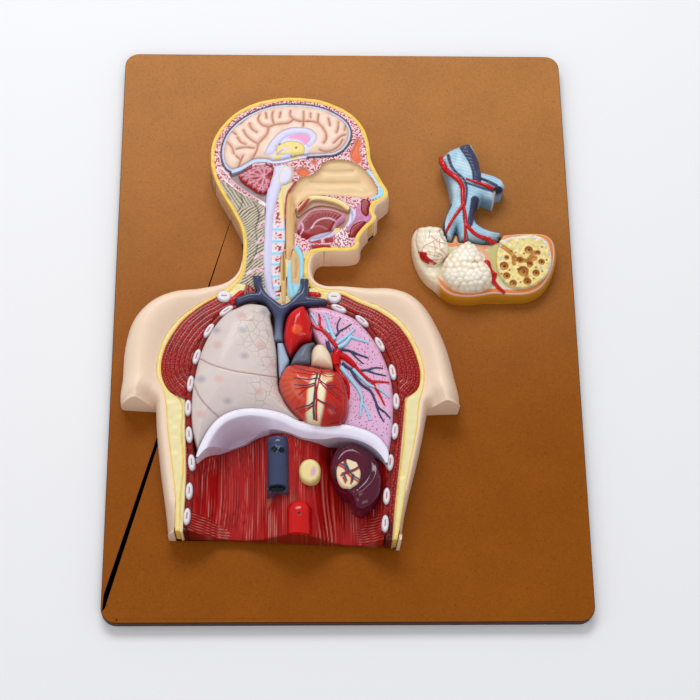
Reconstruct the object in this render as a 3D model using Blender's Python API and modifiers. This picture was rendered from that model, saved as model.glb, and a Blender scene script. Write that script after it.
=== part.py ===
"""Torso anatomy model: a sectioned head and chest relief and a lung lobule relief on a wooden board.

The model lies flat on its board. X runs across the board, Y runs up to the head and Z points out
of the relief. The origin is the centre of the board's underside. Outlines are in millimetres in
that frame. Each piece drops into a pocket of the pieces under it, with FIT of room all round.
"""

import bmesh
import bpy
import numpy as np

MM = 0.001

# Board
BOARD_WIDTH = 450.0
BOARD_LENGTH = 600.0
BOARD_THICKNESS = 12.0
BOARD_CORNER = 14.0

# Fits and seats
FIT = 0.3
SHELL_FLOOR = 3.0
POCKET_RISE = 6.0

# Heights above the board's face
SECTION_HEIGHT = 30.0
BRAIN_HEIGHT = 32.0
CAVITY_HEIGHT = 25.0
NECK_HEIGHT = 31.0
WALL_HEIGHT = 33.0
RIB_HEIGHT = 35.0
LUNG_EDGE_HEIGHT = 33.0
RIGHT_LUNG_CREST = 48.0
LEFT_LUNG_CREST = 38.0
ORGAN_SEAT_HEIGHT = 24.0
VESSEL_CREST = 39.0
VESSEL_EDGE = 33.0
ARCH_CREST = 48.0
ARCH_EDGE = 36.0
TRUNK_CREST = 46.0
TRUNK_EDGE = 38.0
AURICLE_CREST = 50.0
AURICLE_EDGE = 40.0
HEART_EDGE_HEIGHT = 40.0
HEART_CREST = 60.0
DIAPHRAGM_HEIGHT = 43.0
SPLEEN_CREST = 40.0
SPLEEN_EDGE = 34.0
HILUM_SINK = 4.0
HILUM_RISE = 2.0
VALLEY_HEIGHT = 8.0
VALLEY_SIDE_HEIGHT = 23.0
SPINE_RIDGE_HEIGHT = 31.0
AORTA_SINK = 6.0
VERTEBRA_DROP = 9.0
SHOULDER_CREST = 42.0
SKIN_EDGE_HEIGHT = 6.0
LOBULE_BASE_HEIGHT = 17.0
LOBULE_EDGE_HEIGHT = 10.0
LOBULE_CREST = 32.0
ALVEOLI_SINK = 4.0
ALVEOLI_EDGE = 19.0
LOBULE_SECTION_HEIGHT = 20.0
AIRWAY_CREST = 24.0
LOBULE_ARTERY_RISE = 3.0

# Widths of strips and vessels
SKIN_ROUND = 20.0
DURA_WIDTH = 3.0
RIB_STRIP_WIDTH = 5.0
RIB_LENGTH = 16.0
RIB_WIDTH = 6.0
RIB_SINK = 21.4
RIB_STAND = 2.0
CLAVICLE_LENGTH = 13.0
CLAVICLE_WIDTH = 11.0
VENA_CAVA_RADIUS = 10.0
AORTA_RADIUS = 11.5
LUNG_VESSEL_HEIGHT = 2.0

# How far in from its edge each domed piece reaches its crest
HEART_SHOULDER = 26.0
AURICLE_SHOULDER = 8.0
ARCH_SHOULDER = 11.0
TRUNK_SHOULDER = 9.0
VESSEL_SHOULDER = 4.5
RIGHT_LUNG_SHOULDER = 30.0
LEFT_LUNG_SHOULDER = 8.0
SPLEEN_SHOULDER = 7.0
ALVEOLI_SHOULDER = 18.0
LOBULE_SHOULDER = 7.0

# Cell sizes of the domed tops
FINE_CELL = 5.0
MEDIUM_CELL = 9.0
COARSE_CELL = 12.0
BROAD_CELL = 14.0
FLAT_CELL = 60.0
OVAL_SIDES = 10
CLAVICLE_SIDES = 14

# Straight vessels of the abdomen, and the profile of its back wall across the model
LOWER_CAVA_X = -64.8
LOWER_CAVA_ENDS = (-188.0, -134.0)
WALL_EDGE_X = (-146.0, 34.0)
RIGHT_VALLEY_X = (-120.0, -95.0)
LEFT_VALLEY_X = (-4.0, 12.0)
SPINE_RIDGE_X = (-58.0, -36.0)
RIDGE_FOOT_X = (-72.0, -22.0)

# The shoulders rise outside an oval about the chest, from its start share to its full share
CHEST_CENTRE = (-54.0, -55.0)
CHEST_REACH = (165.0, 150.0)
SHOULDER_START = 0.55
SHOULDER_FULL = 0.85
NECK_BLEND = (26.0, 34.0)

# Wood screws, driven from the back of the board
SCREW_SHANK = 4.0
SCREW_HEAD = 8.0
SCREW_HEAD_DEPTH = 3.0
SCREW_TIP_COVER = 0.6
HOLE_ROOM = 0.4
FIGURE_SCREWS = [(-140.0, -60.0), (30.0, -60.0), (-95.0, 150.0), (-60.0, -200.0)]
LOBULE_SCREWS = [(95.0, 50.0), (178.0, 60.0)]

BOARD_TOP = BOARD_THICKNESS
SHELL_BASE = BOARD_TOP + FIT
TRAY_FLOOR = SHELL_BASE + SHELL_FLOOR
FLOOR_SEAT = TRAY_FLOOR + FIT
POCKET_SEAT = FLOOR_SEAT + POCKET_RISE
ORGAN_SEAT = BOARD_TOP + ORGAN_SEAT_HEIGHT
SECTION_TOP = BOARD_TOP + SECTION_HEIGHT
CLEAR_OF_ALL = 200.0

# Colours are linear RGB
CHESTNUT = (0.36, 0.14, 0.03)
STEEL = (0.55, 0.55, 0.52)
SKIN_TONE = (0.88, 0.70, 0.54)
FAT_YELLOW = (0.86, 0.68, 0.20)
BONE_WHITE = (0.82, 0.66, 0.62)
LAVENDER = (0.70, 0.66, 0.85)
CORTEX = (0.85, 0.64, 0.52)
PALE_YELLOW = (0.80, 0.68, 0.24)
MAROON = (0.30, 0.03, 0.05)
MUSCLE_RED = (0.28, 0.02, 0.02)
MUSCLE_GREY = (0.36, 0.32, 0.24)
TAN = (0.62, 0.42, 0.25)
LIP_PINK = (0.60, 0.20, 0.28)
CARTILAGE_BLUE = (0.38, 0.66, 0.82)
LUNG_GREY = (0.60, 0.50, 0.46)
LUNG_PINK = (0.65, 0.35, 0.55)
VEIN_NAVY = (0.05, 0.06, 0.12)
ARTERY_RED = (0.60, 0.01, 0.01)
SLATE = (0.15, 0.17, 0.22)
AURICLE_CREAM = (0.80, 0.62, 0.42)
HEART_RED = (0.55, 0.06, 0.03)
SPLEEN_DARK = (0.08, 0.01, 0.02)
ALVEOLI_CREAM = (0.80, 0.70, 0.50)

SKIN = [
    (-48, 231.8), (-25, 229), (-10, 223.8), (4, 215.8), (14, 206), (20.4, 195.6), (24, 184),
    (25.8, 172), (26.8, 161), (31.6, 148), (38.2, 134.6), (43.4, 124.6), (43.6, 118), (40, 113),
    (33, 107), (30, 102), (32, 97), (31, 92), (27, 88), (19, 79), (15, 72), (15, 66), (12, 60),
    (5, 57.5), (-10, 57), (-22, 57), (-28, 54), (-31, 46), (-31, 38), (-28, 31), (-20, 27),
    (-5, 27), (18, 27.5), (44, 27), (62, 21), (76, 9), (88, -12), (97, -36), (103, -64),
    (107, -95), (105, -99), (76, -100), (68, -138), (60, -170), (52, -202), (47, -233),
    (-165, -223), (-169, -194), (-174, -162), (-179, -122), (-181, -97), (-212, -95), (-214, -92),
    (-213.5, -66), (-212, -32), (-205, -6), (-190, 12), (-168, 23), (-140, 27), (-116, 31),
    (-107, 38), (-103.2, 46), (-101.4, 54), (-100.8, 62), (-100.8, 71), (-102.2, 80),
    (-105.4, 90), (-110.3, 100), (-115.7, 110), (-121.4, 120), (-126.4, 130), (-130.6, 141),
    (-133.3, 152), (-134.1, 164), (-132.8, 178), (-128.5, 190), (-121.8, 201), (-112.5, 211.4),
    (-101.2, 219.8), (-90, 225.2), (-76, 229.4), (-62, 231.4),
]
# The cut edge of the figure, from the crown round the face to the bottom and up the back
SECTION_RIGHT = [
    (-48, 230.4), (-25, 227.6), (-10.7, 222.4), (3, 214.6), (12.8, 205), (19, 195),
    (22.6, 183.6), (24.4, 171.6), (25.4, 160.6), (30.2, 147.6), (36.8, 134), (41.6, 124.4),
    (41.2, 118.6), (35, 114.5), (29, 110), (27, 102), (29, 97), (28, 92.5), (23, 87), (16, 79),
    (12.4, 72), (12.2, 66.5), (9.5, 61.6), (4, 60), (-10, 59.4), (-24, 59), (-33, 56),
    (-36.5, 48), (-37.5, 40), (-36, 30), (-31, 23), (-23, 19), (-2.7, 16.4), (13, 8.4),
    (33.6, -0.7), (51.8, -15.5), (63, -33.6), (70, -52), (72.7, -70), (70.5, -86), (67, -99),
    (64.3, -122), (58.6, -149.5), (51.8, -183.6),
]
SECTION_LEFT = [
    (-158.4, -190.5), (-162, -161), (-167, -127), (-170, -97), (-173, -84), (-178, -74),
    (-179.5, -63), (-176.6, -45), (-171, -29), (-159.5, -13), (-143.6, 0.5), (-130, 9.5),
    (-114, 20), (-105, 30), (-100.6, 40), (-99.6, 50), (-99.2, 61), (-99.4, 70), (-100.7, 80),
    (-104, 90), (-108.9, 100), (-114.3, 110), (-120, 120), (-125, 130), (-129.2, 141),
    (-131.9, 152), (-132.7, 164), (-131.4, 177.6), (-127.2, 189), (-120.6, 199.6),
    (-111.4, 210), (-100.4, 218.4), (-89.4, 223.8), (-75.6, 228), (-62, 230),
]
SECTION_END = [(43.5, -230.5), (-157.5, -222)]
OPEN_END = [(40, -250), (-157.5, -250)]
# The inner edge of the yellow fat layer
FIELD = [
    (-48, 227), (-26, 224.4), (-12, 219.6), (1, 211.8), (10.4, 202.8), (16.2, 193.4),
    (19.6, 182), (21.2, 170.4), (22.2, 159.6), (27.2, 146), (33.6, 132.2), (37.8, 124),
    (36.8, 119.8), (32.4, 117), (25.6, 112), (23.4, 102), (25.4, 97), (24.6, 94), (20, 89),
    (13, 80.6), (9.2, 73), (9, 68), (7.4, 64.4), (3, 63.4), (-10, 62.8), (-24, 62.6), (-35, 59),
    (-40, 50), (-41, 40), (-39.4, 29), (-34, 20.6), (-25, 15.6), (-4, 12.8), (11, 5), (31, -4.6),
    (49, -19), (60, -36), (66.6, -54), (69, -71), (66, -85), (56, -94), (54, -108),
    (51.8, -138), (47, -172), (42.7, -206), (38, -260), (-152, -260), (-154, -195), (-152, -161),
    (-154.5, -127), (-156, -97), (-168, -86), (-174, -74), (-175.6, -60), (-172.4, -43),
    (-166, -29), (-155, -13), (-139, 1), (-125.5, 9.5), (-111, 17), (-101.6, 28), (-97.4, 40),
    (-96.6, 50), (-96.2, 61), (-96.4, 70), (-97.8, 80), (-101.2, 90), (-105.8, 100),
    (-111.3, 110), (-117, 120), (-122, 130), (-126.2, 141.4), (-128.8, 152.4), (-129.4, 164),
    (-128.2, 176.6), (-124.2, 187.4), (-118, 197.4), (-109.2, 207.4), (-98.8, 215.2),
    (-88.2, 220.4), (-75, 224.4), (-62, 226.6),
]
NECK_END = [(-150, 250), (60, 250), (60, 40), (-30, 40), (-36, 22), (-46, 8), (-52, 1),
            (-60, -2), (-70, -1), (-79, 5), (-86, 14), (-94, 22), (-120, 30), (-150, 60)]
BRAIN_CASE = [
    (-42, 161), (-22, 162.7), (-10.7, 164), (-2, 169), (4.3, 177.7), (7, 186), (6.4, 195),
    (0.7, 205), (-10.7, 213.6), (-25, 220), (-48, 223), (-68, 222), (-82, 218), (-96.4, 210.6),
    (-108, 201.4), (-116.4, 191), (-121.6, 179), (-123.4, 167), (-122, 156), (-118, 148),
    (-112, 144), (-103.6, 147), (-96.4, 151.6), (-89, 156), (-80, 156.6), (-70, 155), (-56, 158),
]
CALLOSUM = [
    (-80.7, 163), (-75, 176), (-66, 187.7), (-56, 193.4), (-45, 194.6), (-34, 192.4), (-27.4, 186),
    (-28.4, 179), (-36, 171), (-38.6, 176), (-34.6, 182), (-37, 185.6), (-46, 187),
    (-58, 183.4), (-66, 175), (-71.4, 164),
]
THALAMUS = [
    (-68, 172), (-60.7, 177.4), (-50.7, 179), (-43, 176), (-39.4, 169), (-41, 165),
    (-50, 163.4), (-59, 163), (-68, 162.6),
]
CEREBELLUM = [
    (-105.7, 142), (-99, 145.6), (-91, 152), (-82, 153), (-73.6, 152), (-70.6, 149), (-71.4, 143),
    (-73.6, 135), (-75.4, 127.7), (-79, 122.7), (-84, 122.7), (-93.6, 129), (-102, 136),
]
BRAIN_STEM = [
    (-70, 152), (-61, 154), (-52, 151), (-51, 141), (-55, 133), (-62, 130), (-66, 119),
    (-68.6, 107.7), (-70.6, 98), (-71, 60), (-71, 20), (-66.6, 8), (-69, 4.4), (-74, 7),
    (-78, 20), (-78, 60), (-78, 105), (-76.4, 125), (-73, 139),
]
SPINE = [(-67, 128), (-61.6, 128), (-60.4, 100), (-60.4, 62), (-64, 50), (-64, 8), (-66, 6.6),
         (-70.2, 20), (-70.2, 98), (-68, 110)]
NECK_MUSCLES = [(-79.6, 108), (-96, 118), (-113, 129), (-136, 148), (-140, 30), (-100, 10),
                (-86, 10), (-79.6, 20), (-79.6, 60)]
NASAL_CAVITY = [
    (-52, 128), (-49, 133), (-45, 139), (-33.6, 143), (-25, 150.6), (-22, 156), (-13.6, 159.6),
    (-2, 160), (9, 157), (17.6, 151), (24, 143), (29.6, 133), (32, 125), (30, 121), (25, 118),
    (3.6, 118.4), (-35, 118.4), (-42, 114), (-49.6, 103), (-50, 85), (-50, 66), (-53, 50),
    (-58, 50), (-58.6, 70), (-58, 100), (-56, 120),
]
SOFT_PALATE = [(-49.4, 101), (-44, 109), (-36, 117.6), (-13.6, 117), (-2, 112), (4, 106),
               (1, 103), (-13, 109), (-28, 110), (-38, 105), (-46, 97.6)]
TONGUE = [(-40, 97), (-33.6, 103), (-22, 105), (-10.7, 103.4), (-2, 98.6), (-0.7, 95),
          (-8, 89), (-15, 78), (-39, 72), (-45, 76), (-47, 85)]
JAW = [(-5, 83), (0.4, 85.4), (2, 75), (1.4, 66), (-3.6, 63.4), (-9.3, 65), (-10.7, 75)]
UPPER_LIP = [(15.7, 115.6), (22, 116), (24.4, 111), (22.4, 104), (22.6, 98), (20, 96), (16, 100)]
LOWER_LIP = [(7.6, 87.6), (15, 91.4), (20, 91), (18, 87.6), (12, 80.6), (7, 73), (3, 74), (4, 81)]
LARYNX = [(-57, 26), (-55, 46), (-51, 62), (-46, 65), (-42, 58), (-41.4, 42), (-42, 28),
          (-47, 15), (-53.6, 6.4), (-57, 12)]
GULLET = [(-62.8, 60), (-59.4, 60), (-58.4, 44), (-58.4, 20), (-58.4, 3), (-62, 3), (-62.8, 20)]

RIB_LINE_RIGHT = [(-86, 6), (-91.4, 4.5), (-104, -0.6), (-114.8, -6.4), (-124, -15.6),
                  (-131, -26.8), (-137, -39), (-141.8, -53.6), (-147, -80.7), (-148.6, -105),
                  (-147, -131.4), (-144, -158.6), (-145.5, -186), (-147, -219)]
RIBS_RIGHT = [(-91.4, 4.5, -20), (-114.8, -6.4, 38), (-131, -26.8, 60), (-141.8, -53.6, 74),
              (-147, -80.7, 84), (-148.6, -105, 90), (-147, -131.4, 95), (-144, -158.6, 95),
              (-145.5, -186, 88), (-147, -210, 86)]
RIB_LINE_LEFT = [(-36, 0), (-20, -0.4), (-7.7, -3.6), (4, -9), (14.3, -16.6), (23, -27.6),
                 (30.7, -40.5), (37, -54), (42.3, -69), (45, -98.4), (43.2, -128), (38.2, -158.6),
                 (34.3, -191), (32.5, -226)]
RIBS_LEFT = [(-7.7, -3.6, -25), (14.3, -16.6, -43), (30.7, -40.5, -62), (42.3, -69, -80),
             (45, -98.4, 90), (43.2, -128, 84), (38.2, -158.6, 83), (34.3, -191, 86),
             (32.5, -217, 87)]
CLAVICLES = {"clavicle_right": (-117.0, 8.6), "clavicle_left": (-12.0, 8.0)}

HEART = [
    (-55, -66), (-37, -66.6), (-25.5, -69), (-14, -70.4), (-5, -78), (-1, -90), (0, -103),
    (-1.6, -117), (-7, -126), (-23, -127.4), (-37, -124.5), (-46, -117), (-57, -103),
    (-63, -90), (-64, -81), (-60.7, -72),
]
AORTIC_ARCH = [
    (-41, -3), (-48, -5.5), (-56, -13), (-59.4, -26), (-60, -38), (-57, -49), (-53.4, -57),
    (-48, -47.6), (-42.5, -41.6), (-35.7, -39.5), (-33.4, -34.5), (-35.7, -21), (-38, -7.5),
]
PULMONARY_TRUNK = [
    (-52, -58), (-47.4, -49.5), (-41, -43), (-32, -41), (-29.6, -43), (-33.6, -48), (-34, -58),
    (-35, -64), (-46, -65.4), (-54, -65),
]
LEFT_AURICLE = [(-33, -49.5), (-29, -44.5), (-23, -45), (-17, -52.5), (-14.5, -62),
                (-14, -69), (-23, -67.6), (-34, -65)]
RIGHT_ATRIUM = [(-66, -41), (-65, -60), (-64, -76), (-62, -76), (-58, -66.5), (-55, -60),
                (-57.4, -51), (-60.6, -41)]
VENA_CAVA = [
    (-69.6, -39), (-69.6, -14), (-74, -4), (-80, 2.4), (-91, 3.4), (-105, -1.4), (-107.6, 5.6),
    (-93, 12), (-86, 12.4), (-89, 24), (-90, 30), (-81.4, 30), (-81, 22), (-76.6, 12),
    (-68, 4), (-62, -1), (-56, 2), (-50, 9), (-45, 14), (-44.4, 27), (-36.4, 27),
    (-36.6, 13), (-36, 8), (-20, 5.6), (-19, 0.4), (-40, -1.6), (-50, -3.4), (-58, -12),
    (-60.6, -24), (-60.6, -39),
]
MEDIASTINUM = [
    (-64, 0), (-44, 0), (-37, -5), (-36, -16), (-33, -28), (-26, -42), (-16, -56), (-8, -76),
    (-3, -95), (-4, -116), (-12, -124), (-30, -124), (-46, -115), (-58, -100), (-64, -86),
    (-65.4, -73), (-66.6, -48), (-70, -26), (-72, -10),
]
RIGHT_LUNG = [
    (-86, 0), (-98, 0), (-114, -8), (-125.5, -21.5), (-134, -37), (-140, -55), (-144, -78),
    (-145.6, -104), (-144, -127), (-138.6, -148), (-135.5, -140), (-125.5, -123.6),
    (-114, -114), (-96, -109.4), (-78, -110), (-60, -114.6), (-44, -122), (-46, -113),
    (-58, -100), (-64, -88), (-65.4, -73), (-66, -48), (-69, -26), (-71, -12), (-76, -3),
]
LEFT_LUNG = [
    (-38, -4), (-23, -3), (-9.5, -7), (6.4, -14), (20, -29), (32, -50), (40, -75), (43, -105),
    (41.4, -132), (36.4, -151), (27, -137), (13, -130), (-1, -126.4), (-6, -122), (-4, -96),
    (-10, -72), (-18, -56), (-28, -40), (-33, -28), (-37, -14),
]
DIAPHRAGM = [
    (-140, -158), (-137, -147), (-124, -123), (-113, -114), (-96, -109), (-78, -109.6),
    (-60, -114), (-44, -121.6), (-23, -123), (-1, -125), (13, -129), (27, -136.6), (35, -148),
    (38, -160), (36, -170), (34, -162), (26, -150), (13, -141), (-7, -136.4), (-23, -137.4),
    (-41, -136), (-57, -130), (-71, -126.6), (-82, -127), (-96, -133), (-114, -140),
    (-130, -147),
]
ABDOMEN = [(-144, -156), (-130, -142), (-100, -130), (-71, -123), (-23, -132), (13, -136),
           (30, -148), (37, -160), (33, -191), (31, -231), (-146, -222.6), (-145, -186)]
OESOPHAGUS = [(-35.8, -156.4), (-29, -159.4), (-26, -168), (-29, -176.6), (-35.8, -180),
              (-42.4, -176.6), (-45.4, -168), (-42.4, -159.4)]
SPLEEN = [
    (-17, -161), (-14, -151), (-6, -142.6), (3, -140), (13, -144), (21, -151), (27, -161),
    (30.4, -175), (27.6, -190), (20, -201), (11, -204.6), (5, -201), (1, -192), (-5, -186),
    (-13, -176),
]
SPLEEN_HILUM = [(-1, -158), (7, -161), (10.4, -171), (8, -181), (1, -186), (-7, -183),
                (-11, -173), (-9, -163)]
AORTA_HALF = [(-57, -203), (-52, -197.4), (-45.6, -195.4), (-39, -197.4), (-34, -203),
              (-34, -226.8), (-57, -225.9)]
VERTEBRA = [(-59, -222.4), (-35, -223.6), (-35, -227.4), (-59, -226.4)]
MUSCLE_RIGHT = [(-122, 14), (-186, 10), (-186, -232), (-147, -222.4), (-145.5, -186),
                (-144, -158.6), (-147, -131.4), (-148.6, -105), (-147, -80.7), (-141.8, -53.6),
                (-131, -26.8), (-114.8, -6.4), (-104, -0.6), (-91.4, 4.5), (-86, 6), (-84, 10),
                (-92, 20), (-106, 24)]
MUSCLE_LEFT = [(-36, 18), (-20, 22), (80, 20), (80, -236), (33, -231), (34.3, -191),
               (38.2, -158.6), (43.2, -128), (45, -98.4), (42.3, -69), (30.7, -40.5),
               (14.3, -16.6), (-7.7, -3.6), (-20, -0.4), (-36, 0)]
BRONCHI_LEFT = [(-12, -46), (-7, -44), (-1, -33), (8, -29), (20, -38), (19, -41), (7, -33),
                (-1, -38), (-8, -50)]
ARTERIES_LEFT = [(-7, -56), (0, -52), (6, -56), (20, -60), (34, -68), (33, -71), (19, -64),
                 (8, -61), (-2, -60)]
VEINS_LEFT = [(-8, -68), (-3, -66), (6, -72), (16, -84), (26, -100), (35, -112), (32, -114),
              (22, -103), (12, -89), (3, -77), (-4, -73)]
CORONARY = [(-28.6, -74), (-25, -74), (-27.4, -90), (-29, -104), (-29, -118), (-32.4, -118),
            (-33, -104), (-31, -90)]

AIRWAY = [
    (97, 168), (104, 176), (119, 183), (128, 185), (134, 169), (136.4, 153), (156, 145),
    (160, 138), (156, 130), (150, 128), (147.6, 119), (136, 123.6), (131, 118), (128, 103),
    (130, 96), (138, 90), (154, 85), (150, 78), (136, 76), (122, 78), (113, 78), (109.6, 92),
    (104, 78), (97, 80), (96, 92), (101, 108), (106, 122), (105, 136), (102, 152),
]
LOBULE_ARTERY = [(100, 165), (104, 168), (113, 152), (119, 143), (120.6, 130), (119.4, 116),
                 (120, 104), (122, 94), (119, 92), (116, 104), (115.6, 122), (115, 138),
                 (109, 146), (102, 156)]
LOBULE_BASE = [
    (72, 92), (67, 86), (66, 72), (68, 60), (72, 48), (79, 37), (88, 29), (94, 22), (102, 17),
    (117, 14.6), (132, 16), (142, 18), (162, 17), (177, 18), (190, 24), (199, 35), (206, 52),
    (208, 67), (206, 79), (199, 86), (188, 88), (172, 87), (156, 86), (136, 82), (112, 84),
    (98, 92), (84, 93),
]
ALVEOLI_LEFT = [(71, 88), (69, 76), (71, 64), (75, 54), (84, 49), (94, 54), (100, 62),
                (99, 76), (95, 88), (84, 90)]
ALVEOLI_CENTRE = [(96, 52), (94, 40), (97, 30), (106, 23), (120, 20.6), (134, 23), (141, 30),
                  (141, 42), (134, 54), (128, 68), (120, 74), (110, 68), (103, 60)]
LOBULE_SECTION = [(152, 76), (163, 80), (175, 82), (188, 82), (197, 76), (201, 64), (200, 48),
                  (193, 36), (182, 28), (168, 25), (156, 30), (149, 42), (148, 58)]


def new_collection(name):
    """A collection linked to the scene."""
    collection = bpy.data.collections.new(name)
    bpy.context.scene.collection.children.link(collection)
    return collection


def finish_material(name, colour, roughness, metallic=0.0):
    """A Principled material with the piece's colour."""
    material = bpy.data.materials.new(name)
    material.use_nodes = True
    shader = material.node_tree.nodes["Principled BSDF"]
    shader.inputs["Base Color"].default_value = (*colour, 1.0)
    shader.inputs["Roughness"].default_value = roughness
    shader.inputs["Metallic"].default_value = metallic
    return material


def signed_area(points):
    """Twice the signed area of a closed outline, positive when it runs anticlockwise."""
    p = np.asarray(points, float)
    q = np.roll(p, -1, axis=0)
    return float(np.sum(p[:, 0] * q[:, 1] - q[:, 0] * p[:, 1]))


def grown(points, room):
    """The outline moved outwards by room, with its corners mitred."""
    p = np.asarray(points, float)
    if signed_area(p) < 0:
        p = p[::-1]
    before = p - np.roll(p, 1, axis=0)
    after = np.roll(p, -1, axis=0) - p
    normals = [np.stack([d[:, 1], -d[:, 0]], axis=1) / np.linalg.norm(d, axis=1)[:, None]
               for d in (before, after)]
    mitre = normals[0] + normals[1]
    mitre /= np.maximum(np.sum(mitre * normals[0], axis=1), 0.35)[:, None]
    return [tuple(c) for c in p + room * mitre]


def edge_distance(x, y, points):
    """How far the places (x, y) lie from the outline."""
    a = np.asarray(points, float)
    d = np.roll(a, -1, axis=0) - a
    at = np.stack([x, y], axis=-1)[:, None, :] - a[None]
    t = np.clip(np.sum(at * d, axis=-1) / np.sum(d * d, axis=-1), 0, 1)
    return np.min(np.linalg.norm(at - t[..., None] * d, axis=-1), axis=1)


def ellipse(x, y, length, width, degrees, sides=OVAL_SIDES):
    """An oval outline centred on (x, y), its length turned by degrees."""
    turn = np.radians(degrees)
    angles = np.linspace(0, 2 * np.pi, sides, endpoint=False)
    u, v = length / 2 * np.cos(angles), width / 2 * np.sin(angles)
    return list(zip(x + u * np.cos(turn) - v * np.sin(turn), y + u * np.sin(turn) + v * np.cos(turn)))


def strip(path, width):
    """The outline of a strip of even width along a path."""
    p = np.asarray(path, float)
    along = np.gradient(p, axis=0)
    side = np.stack([-along[:, 1], along[:, 0]], axis=1) / np.linalg.norm(along, axis=1)[:, None]
    return [tuple(c) for c in np.concatenate([p + side * width / 2, (p - side * width / 2)[::-1]])]


def prism(name, outlines, low, high):
    """A flat-topped solid: the outlines as a filled 2D curve, made a mesh."""
    curve = bpy.data.curves.new(name, "CURVE")
    curve.dimensions = "2D"
    curve.fill_mode = "BOTH"
    curve.extrude = (high - low) / 2 * MM
    for outline in outlines:
        spline = curve.splines.new("POLY")
        spline.points.add(len(outline) - 1)
        for point, (x, y) in zip(spline.points, outline):
            point.co = (x * MM, y * MM, 0.0, 1.0)
        spline.use_cyclic_u = True
    flat = bpy.data.objects.new(name, curve)
    flat.location.z = (low + high) / 2 * MM
    CUTTERS.objects.link(flat)
    piece = made_mesh(flat)
    bpy.data.objects.remove(flat)
    return piece


def made_mesh(source):
    """A mesh object with the evaluated shape of source, its loose caps welded."""
    bpy.context.view_layer.update()
    evaluated = source.evaluated_get(bpy.context.evaluated_depsgraph_get())
    mesh = bpy.data.meshes.new_from_object(evaluated)
    mesh.transform(source.matrix_world)
    shape = bmesh.new()
    shape.from_mesh(mesh)
    bmesh.ops.remove_doubles(shape, verts=shape.verts, dist=1e-6)
    bmesh.ops.recalc_face_normals(shape, faces=shape.faces)
    shape.to_mesh(mesh)
    shape.free()
    piece = bpy.data.objects.new(source.name, mesh)
    CUTTERS.objects.link(piece)
    return piece


def shaped(piece, cutter, operation):
    """Applies one exact Boolean to a piece and removes its cutter."""
    modifier = piece.modifiers.new("shape", "BOOLEAN")
    modifier.operation = operation
    modifier.solver = "EXACT"
    modifier.object = cutter
    bpy.context.view_layer.update()
    evaluated = piece.evaluated_get(bpy.context.evaluated_depsgraph_get())
    old = piece.data
    piece.data = bpy.data.meshes.new_from_object(evaluated)
    piece.modifiers.clear()
    bpy.data.meshes.remove(old)
    bpy.data.objects.remove(cutter)
    return piece


def sheet_solid(name, outline, low, height, cell):
    """A block over the outline's extent whose top follows height(x, y), on cells of that size."""
    p = np.asarray(outline, float)
    start, end = p.min(axis=0) - cell, p.max(axis=0) + cell
    counts = np.maximum(np.ceil((end - start) / cell), 2).astype(int)
    shape = bmesh.new()
    bmesh.ops.create_grid(shape, x_segments=int(counts[0]), y_segments=int(counts[1]), size=1.0)
    bmesh.ops.triangulate(shape, faces=shape.faces, quad_method="FIXED")
    top = list(shape.verts)
    unit = np.array([v.co[:2] for v in top])
    place = start + (unit + 1) / 2 * (end - start)
    for vertex, (x, y), z in zip(top, place, height(place[:, 0], place[:, 1])):
        vertex.co = (x * MM, y * MM, z * MM)
    bmesh.ops.extrude_face_region(shape, geom=shape.faces[:])
    for vertex in top:
        vertex.co.z = low * MM
    bmesh.ops.recalc_face_normals(shape, faces=shape.faces)
    mesh = bpy.data.meshes.new(name)
    shape.to_mesh(mesh)
    shape.free()
    piece = bpy.data.objects.new(name, mesh)
    CUTTERS.objects.link(piece)
    return piece


def dome(outline, edge, crest, width):
    """A height that rises from edge at the outline to crest, width inside it."""
    def height(x, y):
        t = np.clip(edge_distance(x, y, outline) / width, 0, 1)
        return BOARD_TOP + edge + (crest - edge) * np.sqrt(1 - (1 - t) ** 2)
    return height


def level(above_board):
    """A flat height."""
    return lambda x, y: np.full_like(x, BOARD_TOP + above_board)


# Outlines and seats of the pieces in place; the free-standing ones may reach past the field
SEATED = []
FREE_STANDING = []


def cut_for_seated(piece, outline, top, seated=None):
    """Cuts into a piece the pockets of everything already seated where it lies."""
    p = np.asarray(outline)
    for other, seat in SEATED if seated is None else seated:
        q = np.asarray(other)
        apart = (p.min(axis=0) > q.max(axis=0) + 2).any() or (q.min(axis=0) > p.max(axis=0) + 2).any()
        if not apart and seat < top:
            pocket = prism("pocket", [grown(other, FIT)], seat - FIT, CLEAR_OF_ALL)
            shaped(piece, pocket, "DIFFERENCE")


def add_piece(piece, name, material):
    """Names a finished piece, cleans it and puts it in the model's collection."""
    shape = bmesh.new()
    shape.from_mesh(piece.data)
    bmesh.ops.remove_doubles(shape, verts=shape.verts, dist=2e-6)
    bmesh.ops.dissolve_degenerate(shape, edges=shape.edges, dist=2e-6)
    bmesh.ops.dissolve_limit(shape, angle_limit=0.01, verts=shape.verts, edges=shape.edges)
    shape.to_mesh(piece.data)
    shape.free()
    CUTTERS.objects.unlink(piece)
    MODEL.objects.link(piece)
    piece.name = name
    piece.data.name = name
    piece.data.materials.clear()
    piece.data.materials.append(material)
    piece.data.shade_smooth()
    piece.data.set_sharp_from_angle(angle=0.5)
    return piece


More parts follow.
